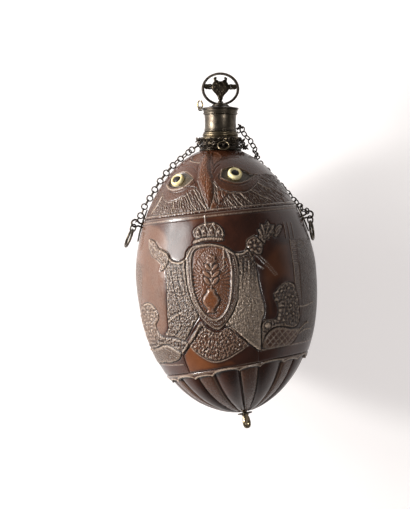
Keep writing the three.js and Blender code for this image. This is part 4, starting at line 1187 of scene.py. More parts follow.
class Finish(Nodes):
    """A material whose nodes are added one by one."""

    def __init__(self, name):
        self.material = bpy.data.materials.new(name)
        self.material.use_nodes = True
        super().__init__(self.material.node_tree)
        self.shader = self.tree.nodes.new("ShaderNodeBsdfPrincipled")
        self.output = self.tree.nodes.new("ShaderNodeOutputMaterial")
        self.tree.links.new(self.shader.outputs[0], self.output.inputs[0])

    def skin(self, **values):
        """Sets the sockets of the surface's own shader."""
        names = {"colour": "Base Color", "roughness": "Roughness", "metallic": "Metallic",
                 "normal": "Normal", "specular": "Specular IOR Level"}
        for key, value in values.items():
            self.fill(self.shader.inputs[names[key]], value)

    def spot(self, scale=(1, 1, 1), turn=(0, 0, 0)):
        """The place on the piece, in millimetres, stretched and turned."""
        seen = self.add("ShaderNodeTexCoord", output="Object")
        return self.add("ShaderNodeMapping", None,
                        {"Vector": seen, "Scale": tuple(s / MM for s in scale), "Rotation": turn})

    def noise(self, vector, scale, detail=3.0, roughness=0.5, distortion=0.0):
        return self.add("ShaderNodeTexNoise", None,
                        {"Vector": vector, "Scale": scale, "Detail": detail,
                         "Roughness": roughness, "Distortion": distortion}, output="Fac")

    def cells(self, vector, scale):
        """Distance from the nearest of scattered points."""
        return self.add("ShaderNodeTexVoronoi", None, {"Vector": vector, "Scale": scale},
                        output="Distance")

    def field(self, name):
        return self.add("ShaderNodeAttribute", {"attribute_name": name}, output="Fac")

    def mix(self, share, first, second):
        colours = [c if isinstance(c, Value) else (*c, 1) for c in (first, second)]
        return self.add("ShaderNodeMix", {"data_type": "RGBA"},
                        {0: share, 6: colours[0], 7: colours[1]}, output=2)

    def bump(self, height, strength, distance):
        return self.add("ShaderNodeBump", None,
                        {"Height": height, "Strength": strength, "Distance": distance * MM})


def tone(red, green, blue):
    """A colour from its screen values."""
    return tuple((c / 12.92 if c <= 0.04045 else ((c + 0.055) / 1.055) ** 2.4)
                 for c in (red / 255, green / 255, blue / 255))


def shell_finish(colours):
    """Coconut shell: dark and polished where it is plain, nicked and duller where it was cut."""
    f = Finish("carved_coconut")
    at = f.spot()
    worked, warm, hollow = f.field("worked"), f.field("warm"), f.field("hollow")
    pale, olive = f.field("pale"), f.field("olive")
    fibre = f.noise(f.spot((1, 1, 0.16)), 1.6, 4.0, 0.6, 0.4)
    cloud = f.noise(at, 0.09, 3.0, 0.55, 0.6)
    fleck = f.noise(f.spot((1, 1, 0.5)), 2.2, 3.0, 0.65)
    nick = f.cells(f.spot((1, 1, 0.7)), 1.25)
    cup = f.step(nick, 0.1, 0.62)
    plain = f.mix(f.step(cloud, 0.25, 0.8, 0.1, 0.9), colours.polished, colours.brown)
    plain = f.mix(f.step(fibre, 0.45, 0.75) * 0.55, plain, colours.brown)
    cut = f.mix(f.step(fleck, 0.42, 0.62), colours.cut, colours.pale_cut)
    # Darker in the middle of each nick: dirt and painted shade in its pit.
    cut = f.mix(f.step(nick, 0.05, 0.35, 1, 0) * 0.8, cut, colours.dirt_and_shade)
    colour = f.mix(worked * 0.9, plain, cut)
    scraped = warm * f.step(cloud, 0.2, 0.7, 0.6, 0.85) * f.step(worked, 0.2, 0.9, 1, 0.5)
    colour = f.mix(scraped, colour, colours.orange)
    colour = f.mix(olive * 0.8, colour, colours.wax)
    # Darker in the grooves, found from the blurred height: dirt and painted shade.
    colour = f.mix(f.step(hollow, 0.03, 0.2) * 0.85, colour, colours.dirt_and_shade)
    # Paler on convex crests and on the pale lines: rubbed wear and painted highlights and glints.
    rubbed = f.step(hollow, -0.2, -0.05, 1, 0) * (worked * 0.35 + 0.1)
    rubbed = rubbed + pale * f.step(fleck, 0.35, 0.62, 0.25, 0.95)
    colour = f.mix(rubbed, colour, colours.worn)
    smear = f.noise(f.spot((1, 1, 0.5)), 0.35, 3.0, 0.6)
    rough = f.step(smear, 0.3, 0.7, 0.16, 0.27) + worked * 0.06 + f.step(hollow, 0.03, 0.2) * 0.2
    fine = f.noise(at, 5.0, 2.0, 0.6)
    pores = f.noise(f.spot((1, 1, 0.25)), 3.2, 3.0, 0.7)
    relief = cup * worked * 0.9 + fine * (worked * 0.5 + 0.03) + pores * (worked * 0.4 + 0.1)
    f.skin(colour=colour, roughness=rough, normal=f.bump(relief, 0.75, 0.3), specular=0.5)
    return f.material


def bone_finish(colours):
    f = Finish("yellowed_bone")
    at = f.spot()
    cloud = f.noise(at, 0.5, 3.0)
    line = f.noise(f.spot((1, 0.25, 1), (0.4, 0.3, 0.2)), 3.0, 4.0, 0.7)
    colour = f.mix(f.step(cloud, 0.3, 0.7), colours.bone, colours.bone_edge)
    colour = f.mix(f.step(line, 0.6, 0.78) * 0.5, colour, colours.dirt_and_shade)
    f.skin(colour=colour, roughness=f.step(cloud, 0.2, 0.8, 0.28, 0.45),
           normal=f.bump(line, 0.25, 0.1), specular=0.5)
    return f.material


def boss_finish(colours):
    f = Finish("dark_eye_boss")
    cloud = f.noise(f.spot(), 1.2, 3.0)
    colour = f.mix(f.step(cloud, 0.4, 0.7), (0.006, 0.004, 0.004), colours.dirt_and_shade)
    f.skin(colour=colour, roughness=f.step(cloud, 0.2, 0.8, 0.35, 0.5),
           normal=f.bump(cloud, 0.35, 0.12), specular=0.35)
    return f.material


def metal_finish(name, clean, dull, dark, shine=(0.24, 0.42), tarnish=0.5, painted_shade_heights=None):
    """Old metal: rubbed bright on what stands out, brown and dull in patches, scratched.

    Between the two heights of painted shade, in millimetres, it darkens downwards: shade painted under
    the chain's wraps."""
    f = Finish(name)
    at = f.spot()
    cloud = f.noise(at, 0.28, 4.0, 0.6, 0.8)
    speck = f.noise(at, 2.6, 3.0, 0.65)
    scratch = f.noise(f.spot((1, 1, 0.3), (0.3, 0.2, 0.5)), 3.5, 3.0, 0.7)
    worn = f.add("ShaderNodeNewGeometry", output="Pointiness")
    high = f.step(worn, 0.5, 0.56)
    low = f.step(worn, 0.44, 0.5, 1, 0)
    colour = f.mix(f.step(cloud, 0.38, 0.66), clean, dull)
    colour = f.mix(f.step(speck, 0.5, 0.72) * tarnish, colour, dark)
    colour = f.mix(low * 0.75, colour, dark)
    colour = f.mix(high * 0.5, colour, clean)
    # Painted shade: darker downwards between two heights, where the chain's wraps cover the collar.
    if painted_shade_heights:
        level = f.add("ShaderNodeSeparateXYZ", None, {0: at}, output=2)
        colour = f.mix(f.step(level, *painted_shade_heights, 0.9, 0), colour, dark)
    rough = f.step(cloud, 0.3, 0.7, *shine) + f.step(speck, 0.5, 0.8) * 0.14 + low * 0.1
    metallic = f.step(speck, 0.55, 0.8, 1.0, 0.75)
    f.skin(colour=colour, roughness=rough, metallic=metallic,
           normal=f.bump(scratch * 0.6 + speck * 0.4, 0.28, 0.08))
    return f.material


def cork_finish(colours):
    f = Finish("old_cork")
    at = f.spot()
    grain = f.noise(at, 1.4, 5.0, 0.65)
    pit = f.cells(at, 1.1)
    colour = f.mix(f.step(grain, 0.35, 0.7), colours.cork, colours.brown)
    colour = f.mix(f.step(pit, 0.05, 0.22, 1, 0), colour, colours.dirt_and_shade)
    f.skin(colour=colour, roughness=f.step(grain, 0.2, 0.8, 0.75, 0.95),
           normal=f.bump(grain + f.step(pit, 0.0, 0.3), 0.5, 0.3), specular=0.3)
    return f.material


# Each metal: its material, its clean, dull and dark colours, its roughness, its share of
# tarnish and, for the collar, the heights between which shade under the chain is painted.
METALS = {
    "silver": ("tarnished_silver", "silver", "dull_silver", "tarnish"),
    "dark": ("blackened_silver", "dull_silver", "dark_silver", "tarnish", (0.3, 0.46), 0.7),
    "gilt": ("rubbed_gilding", "gilt", "dull_gilt", "tarnish", (0.24, 0.4), 0.6),
    "collar": ("grimy_gilding", "gilt", "dull_gilt", "tarnish", (0.24, 0.4), 0.6, (38.0, 39.6)),
    "ornament": ("blackened_gilding", "dull_gilt", "dark_silver", "tarnish", (0.3, 0.46), 0.7),
    "brass": ("yellow_brass", "brass", "gilt", "dull_gilt", (0.16, 0.3), 0.25),
    "chain": ("chain_wire", "dull_silver", "dark_silver", "tarnish", (0.32, 0.5), 0.8),
}
OTHERS = {"coconut": shell_finish, "bone": bone_finish, "boss": boss_finish, "cork": cork_finish}


class Palette:
    """The colours in use, and the finishes made from them so far."""

    def __init__(self, colours):
        for field in FlaskColours.bl_rna.properties.keys():
            if field not in ("rna_type", "name"):
                setattr(self, field, tuple(getattr(colours, field)))
        self.made = {}

    def get(self, name):
        if name not in self.made and name in OTHERS:
            self.made[name] = OTHERS[name](self)
        elif name not in self.made:
            title, clean, dull, dark, *look = METALS[name]
            shades = (getattr(self, shade) for shade in (clean, dull, dark))
            self.made[name] = metal_finish(title, *shades, *look)
        return self.made[name]


def colour_property(name, description, shade):
    return bpy.props.FloatVectorProperty(
        name=name, description=description, subtype="COLOR", size=3, min=0, max=1, default=shade
    )


class FlaskColours(bpy.types.PropertyGroup):
    polished: colour_property("Polished shell", "Darkest colour of the polished nut",
                              tone(38, 19, 13))
    brown: colour_property("Brown shell", "Lighter streaks in the polished nut", tone(66, 34, 22))
    cut: colour_property("Cut shell", "The nut where the tool left it dull", tone(48, 33, 24))
    pale_cut: colour_property("Pale cuts", "Flecks in the cut shell", tone(80, 58, 43))
    orange: colour_property("Scraped shell", "Smooth scraped grounds", tone(116, 68, 38))
    # Worn edges also serve as the colour of painted highlights and glints on the carving.
    worn: colour_property("Worn edges", "What hands have rubbed pale", tone(176, 156, 138))
    wax: colour_property("Wax", "Green-brown wax in the eye sockets", tone(66, 58, 40))
    # Dirt is also the painted shade in the shell's grooves and nicks.
    dirt_and_shade: colour_property("Dirt", "What lies in the grooves", tone(24, 14, 10))
    bone: colour_property("Bone", "The eye rings", tone(236, 224, 178))
    bone_edge: colour_property("Yellowed bone", "Patches in the eye rings", tone(214, 194, 132))
    silver: colour_property("Silver", "Rubbed silver", tone(96, 88, 77))
    dull_silver: colour_property("Dull silver", "Silver gone brown", tone(74, 66, 58))
    dark_silver: colour_property("Blackened silver", "Iron-dark silver", tone(46, 41, 37))
    tarnish: colour_property("Tarnish", "Brown skin in the hollows", tone(22, 18, 15))
    gilt: colour_property("Gilding", "Rubbed gilding", tone(124, 111, 90))
    dull_gilt: colour_property("Dull gilding", "Gilding gone brown", tone(68, 60, 48))
    brass: colour_property("Brass", "The small broken ring", tone(206, 178, 120))
    cork: colour_property("Cork", "The plug", tone(150, 116, 80))


def length_property(name, description, millimetres):
    return bpy.props.FloatProperty(
        name=name, description=description, default=millimetres * MM, min=0, unit="LENGTH",
        precision=5
    )


class FlaskSizes(bpy.types.PropertyGroup):
    face_grain: length_property("Face grain", "Distance between vertices in the carved face", 0.264)
    belly_grain: length_property("Belly grain", "Distance between vertices in the carved belly",
                                 0.352)
    lobe_grain: length_property("Lobe grain", "Distance between vertices in the lobed end", 0.4)
    joint: length_property("Band joint", "Gap between the three bands of the shell", 0.02)
    link_radius: length_property("Link radius", "Middle line of a chain link", 1.42)
    link_wire: length_property("Link wire", "Half the thickness of a chain link's wire", 0.32)
    back_columns: bpy.props.IntProperty(
        name="Back columns", description="Columns of vertices behind the nut", default=44, min=8
    )
    link_corners: bpy.props.IntProperty(
        name="Link corners", description="Corners round a chain link", default=20, min=8
    )


PALETTE = {}


def palette():
    if "now" not in PALETTE:
        PALETTE["now"] = Palette(bpy.context.scene.flask_colours)
    return PALETTE["now"]


def sizes():
    return bpy.context.scene.flask_sizes


# Places of the pieces, in millimetres.
SEAT = 34.3
COLLAR = 34.4
COLLAR_HEIGHT = 9.3
COLLAR_WAIST = 9.1
BORE = 6.3
TUBE = 43.8
TUBE_RADIUS = 7.6
TUBE_HEIGHT = 8.1
LIP = 52.0
LIP_RADIUS = 8.5
LIP_HEIGHT = 2.4
LID = 54.5
LID_RADIUS = 8.75
EAR_REACH = 1.1
EAR_RADIUS = 0.85
EAR_WIRE = 0.32
EAR_FOOT = (0.86, 0.68)
BROKEN_RADIUS = 2
BROKEN_WIRE = 0.36
BROKEN_TURN = 55 * DEG
BROKEN_GAP = 50 * DEG
FOOT = 56.4
FOOT_RADIUS = 3.6
FINIAL = 64.55
FINIAL_WIDTH = 9.2
FINIAL_HEIGHT = 8.0
FINIAL_BAND = 1.15
FINIAL_DEPTH = 2.3
FINIAL_TURN = 10 * DEG
EYES = {
    "left": (16.1, -49 * DEG, -36 * DEG, 34 * DEG),
    "right": (13.8, 15 * DEG, 15 * DEG, 40 * DEG),
}
SIDE_LINE = 90.4 * DEG
EYE_RADIUS = 3.4
EYE_HOLE = 1.9
EYE_THICKNESS = 2.2
EYE_SUNK = 1.1
SIDES = {
    "left": {"around": -90 * DEG, "sign": -1, "lean": 22 * DEG},
    "right": {"around": 90 * DEG, "sign": 1, "lean": 8 * DEG},
}
PLATE_LENGTH = 15.5
PLATE_WIDTH = 5.0
PLATE_THICKNESS = 0.8
SEAT_GAP = 0.3
# Shares of a plate's outline, and the height over the nut at each.
PLATE_RISE = (
    (0.03, SEAT_GAP), (0.5, SEAT_GAP), (0.97, SEAT_GAP), (1.0, SEAT_GAP + 0.2), (1.0, 0.75),
    (0.97, 0.95), (0.9, 0.98), (0.86, 0.8), (0.82, 0.8), (0.78, 0.98), (0.6, 1.1), (0.3, 1.12),
    (0.03, 1.12),
)
LUG_WIRE = 0.5
LUG_EYE = 1.7
LUG_LEGS = 0.75
LUG_CLENCH = 2.2
LUG_REACH = 4.1
CHAIN_LINK = 1.38
CHAIN_WIRE = 0.26
SHOULDER_GAP = 1.75
HOOK_GAP = 0.1
HOOK_TURN = 55 * DEG
WRAP_GAP = 1.85
WRAP_SPREAD = 1.5
WRAP_LOW = 2.1
WRAP_RISE = 2.9
# What hangs in each lug: its name, radius, wire and turn, and how far down it hangs.
HANGING = (("link", 1.9, 0.38, 52 * DEG, 2.6), ("ring", 4.4, 0.59, 101 * DEG, 7.76))
# The broken ring on the wrap: its radius, wire, lean, the angles it spans and its place.
WRAP_RING = (2.7, 0.32, 48 * DEG, 12 * DEG, 352 * DEG, 1.35)


def eye_frame(side):
    """The seat of an eye: its place in the nut and the way it looks."""
    section, around, look, rise = EYES[side]
    axis = np.array([math.cos(rise) * math.sin(look), -math.cos(rise) * math.cos(look),
                     math.sin(rise)])
    centre = nut_place(section, around, egg_radius(section)) - axis * EYE_SUNK
    x = direction(np.cross(axis, (0, 0, 1)))
    return centre, x, np.cross(axis, x), axis


def band_columns(grain, back):
    """Angles round the nut, close together over the carved front."""
    half, side = 64 * DEG, 96 * DEG
    count = int(2 * half * NUT_RADIUS * MM / grain)
    front = np.linspace(-half, half, count)
    beside = np.linspace(half, side, int(count * (side - half) / half / 3.6))[1:]
    upright = np.linspace(SIDE_LINE - 2.6 * DEG, SIDE_LINE + 2.6 * DEG, 15)
    beside = beside[np.abs(beside - SIDE_LINE) > 2.9 * DEG]
    beside = np.sort(np.concatenate([beside, upright]))
    rest = np.linspace(side, 2 * math.pi - side, back + 2)[1:-1]
    return np.concatenate([front, beside, rest, 2 * math.pi - beside[::-1]])


def band_rows(start, stop, grain, around):
    """Sections from one border to the other, evenly spaced along the skin."""
    first, last = skin_length(start), skin_length(stop)
    count = int(np.max(last - first) * MM / grain) + 2
    share = np.linspace(0, 1, count)[:, None]
    return skin_section(first + (last - first) * share)


def band_parts(carving, inner_start, inner_stop, top=None, tip=None):
    """The carved skin, its inner wall and what joins them, as one closed body."""
    height = carving.height.reshape(carving.section.shape)
    outer = on_nut(carving.section, carving.around, height)
    around = carving.around[0]
    rows = list(outer)
    if top is not None:
        rows.insert(0, nut_place(0 * around, around, 0 * around + top))
        rows[0][:, 2] = SEAT
        rows[1][:, 2] = SEAT
    if tip is not None:
        rows.append(nut_place(0 * around + NUT_LENGTH - 0.3, around, 0 * around + tip))
    inner = []
    for share in np.linspace(1, 0, 16):
        section = inner_start + (inner_stop - inner_start) * share
        inner.append(nut_place(section, around, egg_radius(section, -SHELL_WALL)))
    if tip is not None:
        inner.insert(0, nut_place(0 * around + NUT_LENGTH - SHELL_WALL, around, 0 * around + tip))
    if top is not None:
        inner.append(nut_place(0 * around + SHELL_WALL + 2.0, around, 0 * around + top))
    rows += inner
    field = {}
    for name, values in (("worked", carving.worked), ("warm", carving.warm),
                         ("pale", carving.pale), ("olive", carving.olive),
                         ("hollow", (blurred(height, 3) - height).ravel())):
        before = np.zeros(len(around)) if top is not None else np.zeros(0)
        after = np.zeros((len(rows)) * len(around) - len(before) - len(values))
        field[name] = np.concatenate([before, values, after])
    return sweep(rows, True), field


def make_band(name, start, stop, grain, carvers, inner, top=None, tip=None):
    around = band_columns(grain, sizes().back_columns)
    section = band_rows(start(around), stop(around), grain, around)
    carving = Carving(section, np.broadcast_to(around, section.shape).copy())
    for carve in carvers:
        carve(carving)
    carving.worked = np.clip(carving.worked, 0, 1)
    carving.warm = np.clip(carving.warm, 0, 1)
    first, last = (edge(around) if callable(edge) else edge for edge in inner)
    part, fields = band_parts(carving, first, last, top, tip)
    return make(name, [part], "coconut", nodes=("coconut_shell",), slot="coconut",
                fields=fields, sharp=0)


def seat_eyes(band):
    """Presses the skin down to a level bed round each eye ring."""
    for side in EYES:
        centre, x, y, axis = eye_frame(side)
        away = band.flat - centre
        along = away @ axis
        gap = np.linalg.norm(away - along[:, None] * axis, axis=1)
        near = (gap < EYE_RADIUS + 1.6) & (np.abs(along) < 6)
        share = 1 - smooth(gap[near], EYE_RADIUS - 0.1, EYE_RADIUS + 1.4)
        level = along[near] + band.height[near]
        target = np.where(gap[near] < EYE_RADIUS - 0.3, 0.2, np.minimum(level, 1.2))
        band.height[near] += (target - level) * share


class FLASK_OT_shell(bpy.types.Operator):
    """Make the carved coconut shell: face, belly and lobed end"""

    bl_idname = "flask.shell"
    bl_label = "Carved shell"

    def execute(self, context):
        grain = sizes()
        joint = grain.joint / MM / 2
        mouth = float(section_of_radius(COLLAR_FOOT))
        face_end = lambda around: border_section(around) - joint
        belly_start = lambda around: border_section(around) + joint
        belly_end = lambda around: ground_section(around) - joint
        lobes_start = lambda around: ground_section(around) + joint
        make_band("shell_face", lambda around: 0 * around + mouth, face_end, grain.face_grain,
                  (carve_face, carve_bands, seat_eyes), (7.2, face_end), top=MOUTH_RADIUS)
        make_band("shell_belly", belly_start, belly_end, grain.belly_grain,
                  (carve_belly, carve_bands), (belly_start, belly_end))
        make_band("shell_lobes", lobes_start, lambda around: 0 * around + NUT_LENGTH - 0.25,
                  grain.lobe_grain, (carve_lobes, carve_bands), (lobes_start, 124.9), tip=1.4)
        return {"FINISHED"}


class FLASK_OT_eyes(bpy.types.Operator):
    """Make the bone eye rings and their dark bosses"""

    bl_idname = "flask.eyes"
    bl_label = "Eyes"

    def execute(self, context):
        thick, hole = EYE_THICKNESS, EYE_HOLE
        for side in EYES:
            seat = eye_frame(side)
            ring = softened([(hole, 0), (EYE_RADIUS, 0), (EYE_RADIUS, thick * 0.66),
                             (EYE_RADIUS * 0.86, thick * 0.97), (EYE_RADIUS * 0.7, thick),
                             (hole, thick * 0.82)], 0.3, True)
            make("eye_ring_" + side, [turned(ring, 96, True, seat)], "bone",
                 nodes=("eye_ring_" + side,), slot="bone")
            boss = hole - 0.1
            crown = thick * 0.86 + 0.35
            dome = [(0, 0), (boss, 0), (boss, crown * 0.7)]
            dome += [(boss * math.cos(t * DEG), crown * (0.72 + 0.28 * math.sin(t * DEG)))
                     for t in (20, 40, 60, 75)]
            dome.append((0, crown))
            make("eye_boss_" + side, [turned(softened(dome, 0.1), 64, False, seat)], "boss",
                 nodes=("eye_pupil_" + side,), slot="eye_boss")
        return {"FINISHED"}


def ribbed(profile, steps=6):
    """A profile with more spots along its straight stretches."""
    spots = [np.array(profile[0], float)]
    for a, b in zip(profile, profile[1:]):
        a, b = np.array(a, float), np.array(b, float)
        spots += [a + (b - a) * k / steps for k in range(1, steps + 1)]
    return spots


class FLASK_OT_neck(bpy.types.Operator):
    """Make the collar, the tube and its lip"""

    bl_idname = "flask.neck"
    bl_label = "Neck"

    def execute(self, context):
        level = lambda share: COLLAR + COLLAR_HEIGHT * share
        collar = [
            (BORE, COLLAR - 5.4), (BORE + 0.7, COLLAR - 5.4), (BORE + 0.7, COLLAR),
            (COLLAR_FOOT, COLLAR), (COLLAR_FOOT, level(0.06)), (COLLAR_WAIST + 0.55, level(0.13)),
            (COLLAR_WAIST + 0.5, level(0.2)), (COLLAR_WAIST, level(0.3)),
            (COLLAR_WAIST, level(0.44)),
            (9.3, level(0.5)), (9.55, level(0.55)), (9.7, level(0.6)), (9.7, level(0.66)),
            (9.45, level(0.71)), (8.6, level(0.735)), (8.45, level(0.76)), (8.65, level(0.79)),
            (8.75, level(0.83)), (8.65, level(0.87)), (8.3, level(0.895)), (8.42, level(0.93)),
            (8.2, level(0.97)), (7.9, level(1)), (BORE, level(1)),
        ]
        make("neck_collar_body", [turned(softened(collar, 0.22, True), 160, True)], "collar",
             nodes=("neck_collar",), slot="gilt_silver")
        r = TUBE_RADIUS
        tube = [
            (BORE, TUBE), (r, TUBE), (r + 0.28, TUBE + 0.2), (r + 0.3, TUBE + 0.5),
            (r + 0.08, TUBE + 0.7),
            (r + 0.05, TUBE + 0.85), (r + 0.2, TUBE + 1.05), (r + 0.2, TUBE + 1.3), (r, TUBE + 1.5),
            (r - 0.05, TUBE + 3), (r - 0.05, TUBE + 5), (r, TUBE + 6.4), (r + 0.12, TUBE + 7.5),
            (r + 0.25, TUBE + TUBE_HEIGHT), (BORE, TUBE + TUBE_HEIGHT),
        ]
        make("neck_tube_body", [turned(softened(tube, 0.15, True), 160, True)], "silver",
             nodes=("neck_tube",), slot="silver")
        lip = [
            (BORE, LIP), (r + 0.4, LIP), (LIP_RADIUS - 0.25, LIP + 0.2),
            (LIP_RADIUS - 0.08, LIP + 0.5),
            (LIP_RADIUS - 0.12, LIP + 0.8), (LIP_RADIUS - 0.42, LIP + 0.98),
            (LIP_RADIUS - 0.36, LIP + 1.2),
            (LIP_RADIUS - 0.2, LIP + 1.7), (LIP_RADIUS, LIP + 2.25),
            (LIP_RADIUS - 0.12, LIP + LIP_HEIGHT),
            (BORE, LIP + LIP_HEIGHT),
        ]
        make("neck_lip_body", [turned(softened(lip, 0.14, True), 160, True)], "silver",
             nodes=("neck_lip",), slot="silver")
        return {"FINISHED"}


# The cast shield in the finial, half of it, from its middle: across and up, in millimetres.
SHIELD_FOOT = [
    (0, -6.68), (1.35, -6.68), (1.3, -6.2), (0.85, -5.8), (0.8, -5.3), (1.25, -4.95), (1.2, -4.6),
    (0, -4.5),
]
SHIELD_EDGE = [
    (-0.9, -4.9), (-1.4, -3.8), (-2.3, -2.6), (-3.5, -1.3), (-4.4, 0.1), (-4.5, 1.4), (-3.9, 2.5),
    (-3.3, 3.5), (-2.5, 4.3), (0, 3.8),
]
# Shares of the outline, and the depth at each.
SHIELD_RISE = (
    (0.1, -1.25), (0.55, -1.3), (0.8, -1.05), (0.94, -0.7), (1.0, 0.0),
    (0.94, 0.7), (0.8, 1.05), (0.55, 1.3), (0.1, 1.25),
)
# Each knob: across, up, half its width and half its height.
SHIELD_KNOBS = (
    (1.75, 2.5, 0.7, 0.8), (2.6, 0.9, 0.7, 0.7), (1.55, -0.6, 0.6, 0.9), (0.9, 3.2, 0.45, 0.45),
    (0.75, -1.3, 0.35, 0.7), (1.3, 1.0, 0.45, 0.5), (2.1, -1.1, 0.4, 0.5),
)
# The leaf's rib: across, share of the depth and up.
SHIELD_LEAF = ((0, 1, -4.3), (0.9, 1.02, -2.6), (1.9, 0.95, -1.0), (3.0, 0.75, 0.6))


def finial_frame():
    x = np.array([math.cos(FINIAL_TURN), math.sin(FINIAL_TURN), 0.0])
    y = np.array([-math.sin(FINIAL_TURN), math.cos(FINIAL_TURN), 0.0])
    return np.array([0, 0, FINIAL]), x, y, np.array([0, 0, 1.0])


class FLASK_OT_stopper(bpy.types.Operator):
    """Make the cap, its cork, its foot and the ear at its edge"""

    bl_idname = "flask.stopper"
    bl_label = "Stopper"

    def execute(self, context):
        r = LID_RADIUS
        lid = [
            (0, LID), (r, LID), (r + 0.1, LID + 0.3), (r + 0.08, LID + 0.62),
            (r - 0.12, LID + 0.86),
            (r - 0.7, LID + 0.9), (r - 0.95, LID + 0.78), (r - 1.25, LID + 0.98),
            (FOOT_RADIUS + 2.4, LID + 1.3),
            (FOOT_RADIUS + 1.3, LID + 1.58), (FOOT_RADIUS + 0.6, LID + 1.8), (0, LID + 1.8),
        ]
        make("stopper_cap", [turned(softened(lid, 0.16), 160)], "dark", "stopper",
             ("stopper_lid",), "silver")
        plug = BORE - 0.4
        top = LID - 0.1
        cork = [(0, top - 9), (plug * 0.86, top - 9), (plug * 0.95, top - 8.3),
                (plug * 0.97, top - 4), (plug, top), (0, top)]
        worn = lambda turn, radius, height: 0.08 * np.sin(3 * turn + height) * (radius > 2)
        make("stopper_cork", [turned(softened(ribbed(cork), 0.3), 96, wave=worn)], "cork",
             "stopper",
             ("stopper_plug",), "cork")
        f = FOOT_RADIUS
        foot = [
            (0, FOOT), (f + 0.5, FOOT), (f + 0.5, FOOT + 0.22), (f + 0.1, FOOT + 0.42),
            (f + 0.1, FOOT + 0.55),
            (f - 0.4, FOOT + 0.85), (f * 0.72, FOOT + 1.15), (f * 0.7, FOOT + 1.3), (0, FOOT + 1.3),
        ]
        make("stopper_foot_disc", [turned(softened(foot, 0.12), 96)], "silver", "stopper",
             ("stopper_foot",), "silver")
        x, z = np.array([1.0, 0, 0]), np.array([0, 0, 1.0])
        eye = np.array([-LID_RADIUS - EAR_REACH, 0, LID + 0.45])
        ends = [eye + EAR_FOOT[0] * x + sign * EAR_FOOT[1] * z for sign in (1, -1)]
        bow = [eye + EAR_RADIUS * (math.sin(t * DEG) * z - math.cos(t * DEG) * x)
               for t in range(75, -90, -15)]
        make("stopper_ear_loop", [rod(wire_line([ends[0]] + bow + [ends[1]]), EAR_WIRE)],
             "silver", "stopper", ("stopper_ear",), "silver")
        centre = eye + (BROKEN_RADIUS - EAR_RADIUS + EAR_WIRE + BROKEN_WIRE + 0.1) * z
        side = np.array([math.cos(BROKEN_TURN), math.sin(BROKEN_TURN), 0])
        low, half = -math.pi / 2, math.pi - BROKEN_GAP / 2
        ring = hoop(centre, side, z, BROKEN_RADIUS, BROKEN_WIRE, 72, low - half, low + half)
        make("brass_jump_ring", [ring], "brass", "jump_ring", ("stopper_jump_ring",), "brass")
        return {"FINISHED"}


class FLASK_OT_finial(bpy.types.Operator):
    """Make the finial: an oval hoop round a cast, leafy shield with two scrolled arms"""

    bl_idname = "flask.finial"
    bl_label = "Finial"

    def execute(self, context):
        centre, x, y, z = finial_frame()
        spot = lambda across, depth, up: centre + across * x + depth * y + up * z
        turn = np.linspace(0, 2 * math.pi, 160, endpoint=False)
        half, band = FINIAL_DEPTH / 2, FINIAL_BAND
        section = softened([(0, -half), (0, half), (-band, half * 0.86), (-band, -half * 0.86)],
                           0.32, True)
        rows = [
            [spot((FINIAL_WIDTH + out) * math.cos(t), depth, (FINIAL_HEIGHT + out) * math.sin(t))
             for t in turn]
            for out, depth in section
        ]
        make("finial_hoop", [sweep(rows, True)], "dark", "stopper", ("finial_ring",), "dark_silver")
        parts = [turned(SHIELD_FOOT, 32, frame=(centre, x, y, z))]
        edge = curve(SHIELD_EDGE + [(-a, b) for a, b in SHIELD_EDGE[-2::-1]], True, 0.25)
        middle = np.array([0.0, 0.2])
        rows = []
        for scale, depth in SHIELD_RISE:
            ring = middle + (edge - middle) * scale
            rows.append([spot(a, depth, b) for a, b in ring])
        parts.append(sweep(rows))
        knob = lambda a, depth, b, size: ball(spot(a, depth, b), size, 16, 9, x, y, z)
        for face in (-1, 1):
            depth = face * 1.2
            parts.append(ball(spot(0, depth, 1.4), (0.95, 0.45, 1.25), x=x, y=y, z=z))
            parts.append(ball(spot(0, depth, -2.4), (0.55, 0.4, 1.2), x=x, y=y, z=z))
            for sign in (-1, 1):
                for a, b, wide, tall in SHIELD_KNOBS:
                    parts.append(knob(sign * a, depth * 0.86, b, (wide, 0.55, tall)))
                parts.append(hoop(spot(sign * 1.6, depth * 0.98, 2.5), x, z, 0.62, 0.2, 24,
                                  corners=8))
                leaf = wire_line([spot(sign * a, depth * out, b) for a, out, b in SHIELD_LEAF])
                parts.append(rod(leaf, 0.22, corners=8))
        reach = FINIAL_WIDTH - FINIAL_BAND - 0.3
        for sign in (-1, 1):
            bar = lambda spots, step: wire_line([spot(sign * a, 0, b) for a, b in spots], step)
            horn = bar([(1.8, 3.4), (2.6, 4.3), (2.9, 5.1)], 0.1)
            parts.append(rod(horn, np.linspace(1.0, 0.5, len(horn)), corners=12))
            parts.append(rod(bar([(2.9, 5.0), (2.5, 5.5), (2.1, 5.3)], 0.1), 0.4))
            for a, b in ((3.3, -0.1), (2.4, -1.5), (3.4, 1.6)):
                parts.append(knob(sign * a, 0, b, (0.7, 0.8, 0.6)))
            for place, size in ((0.66, 0.95), (0.88, 0.85)):
                parts.append(hoop(spot(sign * reach * place, 0, 1.07), x, z, size, 0.48, 32,
                                  corners=10))
            parts.append(rod(bar([(2.9, 1.07), (reach - 0.25, 1.07)], 0.12), 0.42, corners=10))
            for b in (2.0, 0.14):
                parts.append(knob(sign * reach * 0.75, 0, b, (0.45, 0.5, 0.42)))
        make("finial_shield", parts, "ornament", "stopper", ("finial_ornament",), "gilt_silver")
        return {"FINISHED"}


def mount_frame(side):
    """A side mount's foot on the nut, its way out of it and up along it."""
    around = SIDES[side]["around"]
    foot = on_nut(LUG_SECTION, around)
    out = direction(on_nut(LUG_SECTION, around, 1.0) - foot)
    across = np.array([0.0, -SIDES[side]["sign"], 0.0])
    up = np.cross(across, out) * SIDES[side]["sign"]
    return foot, out, up, across


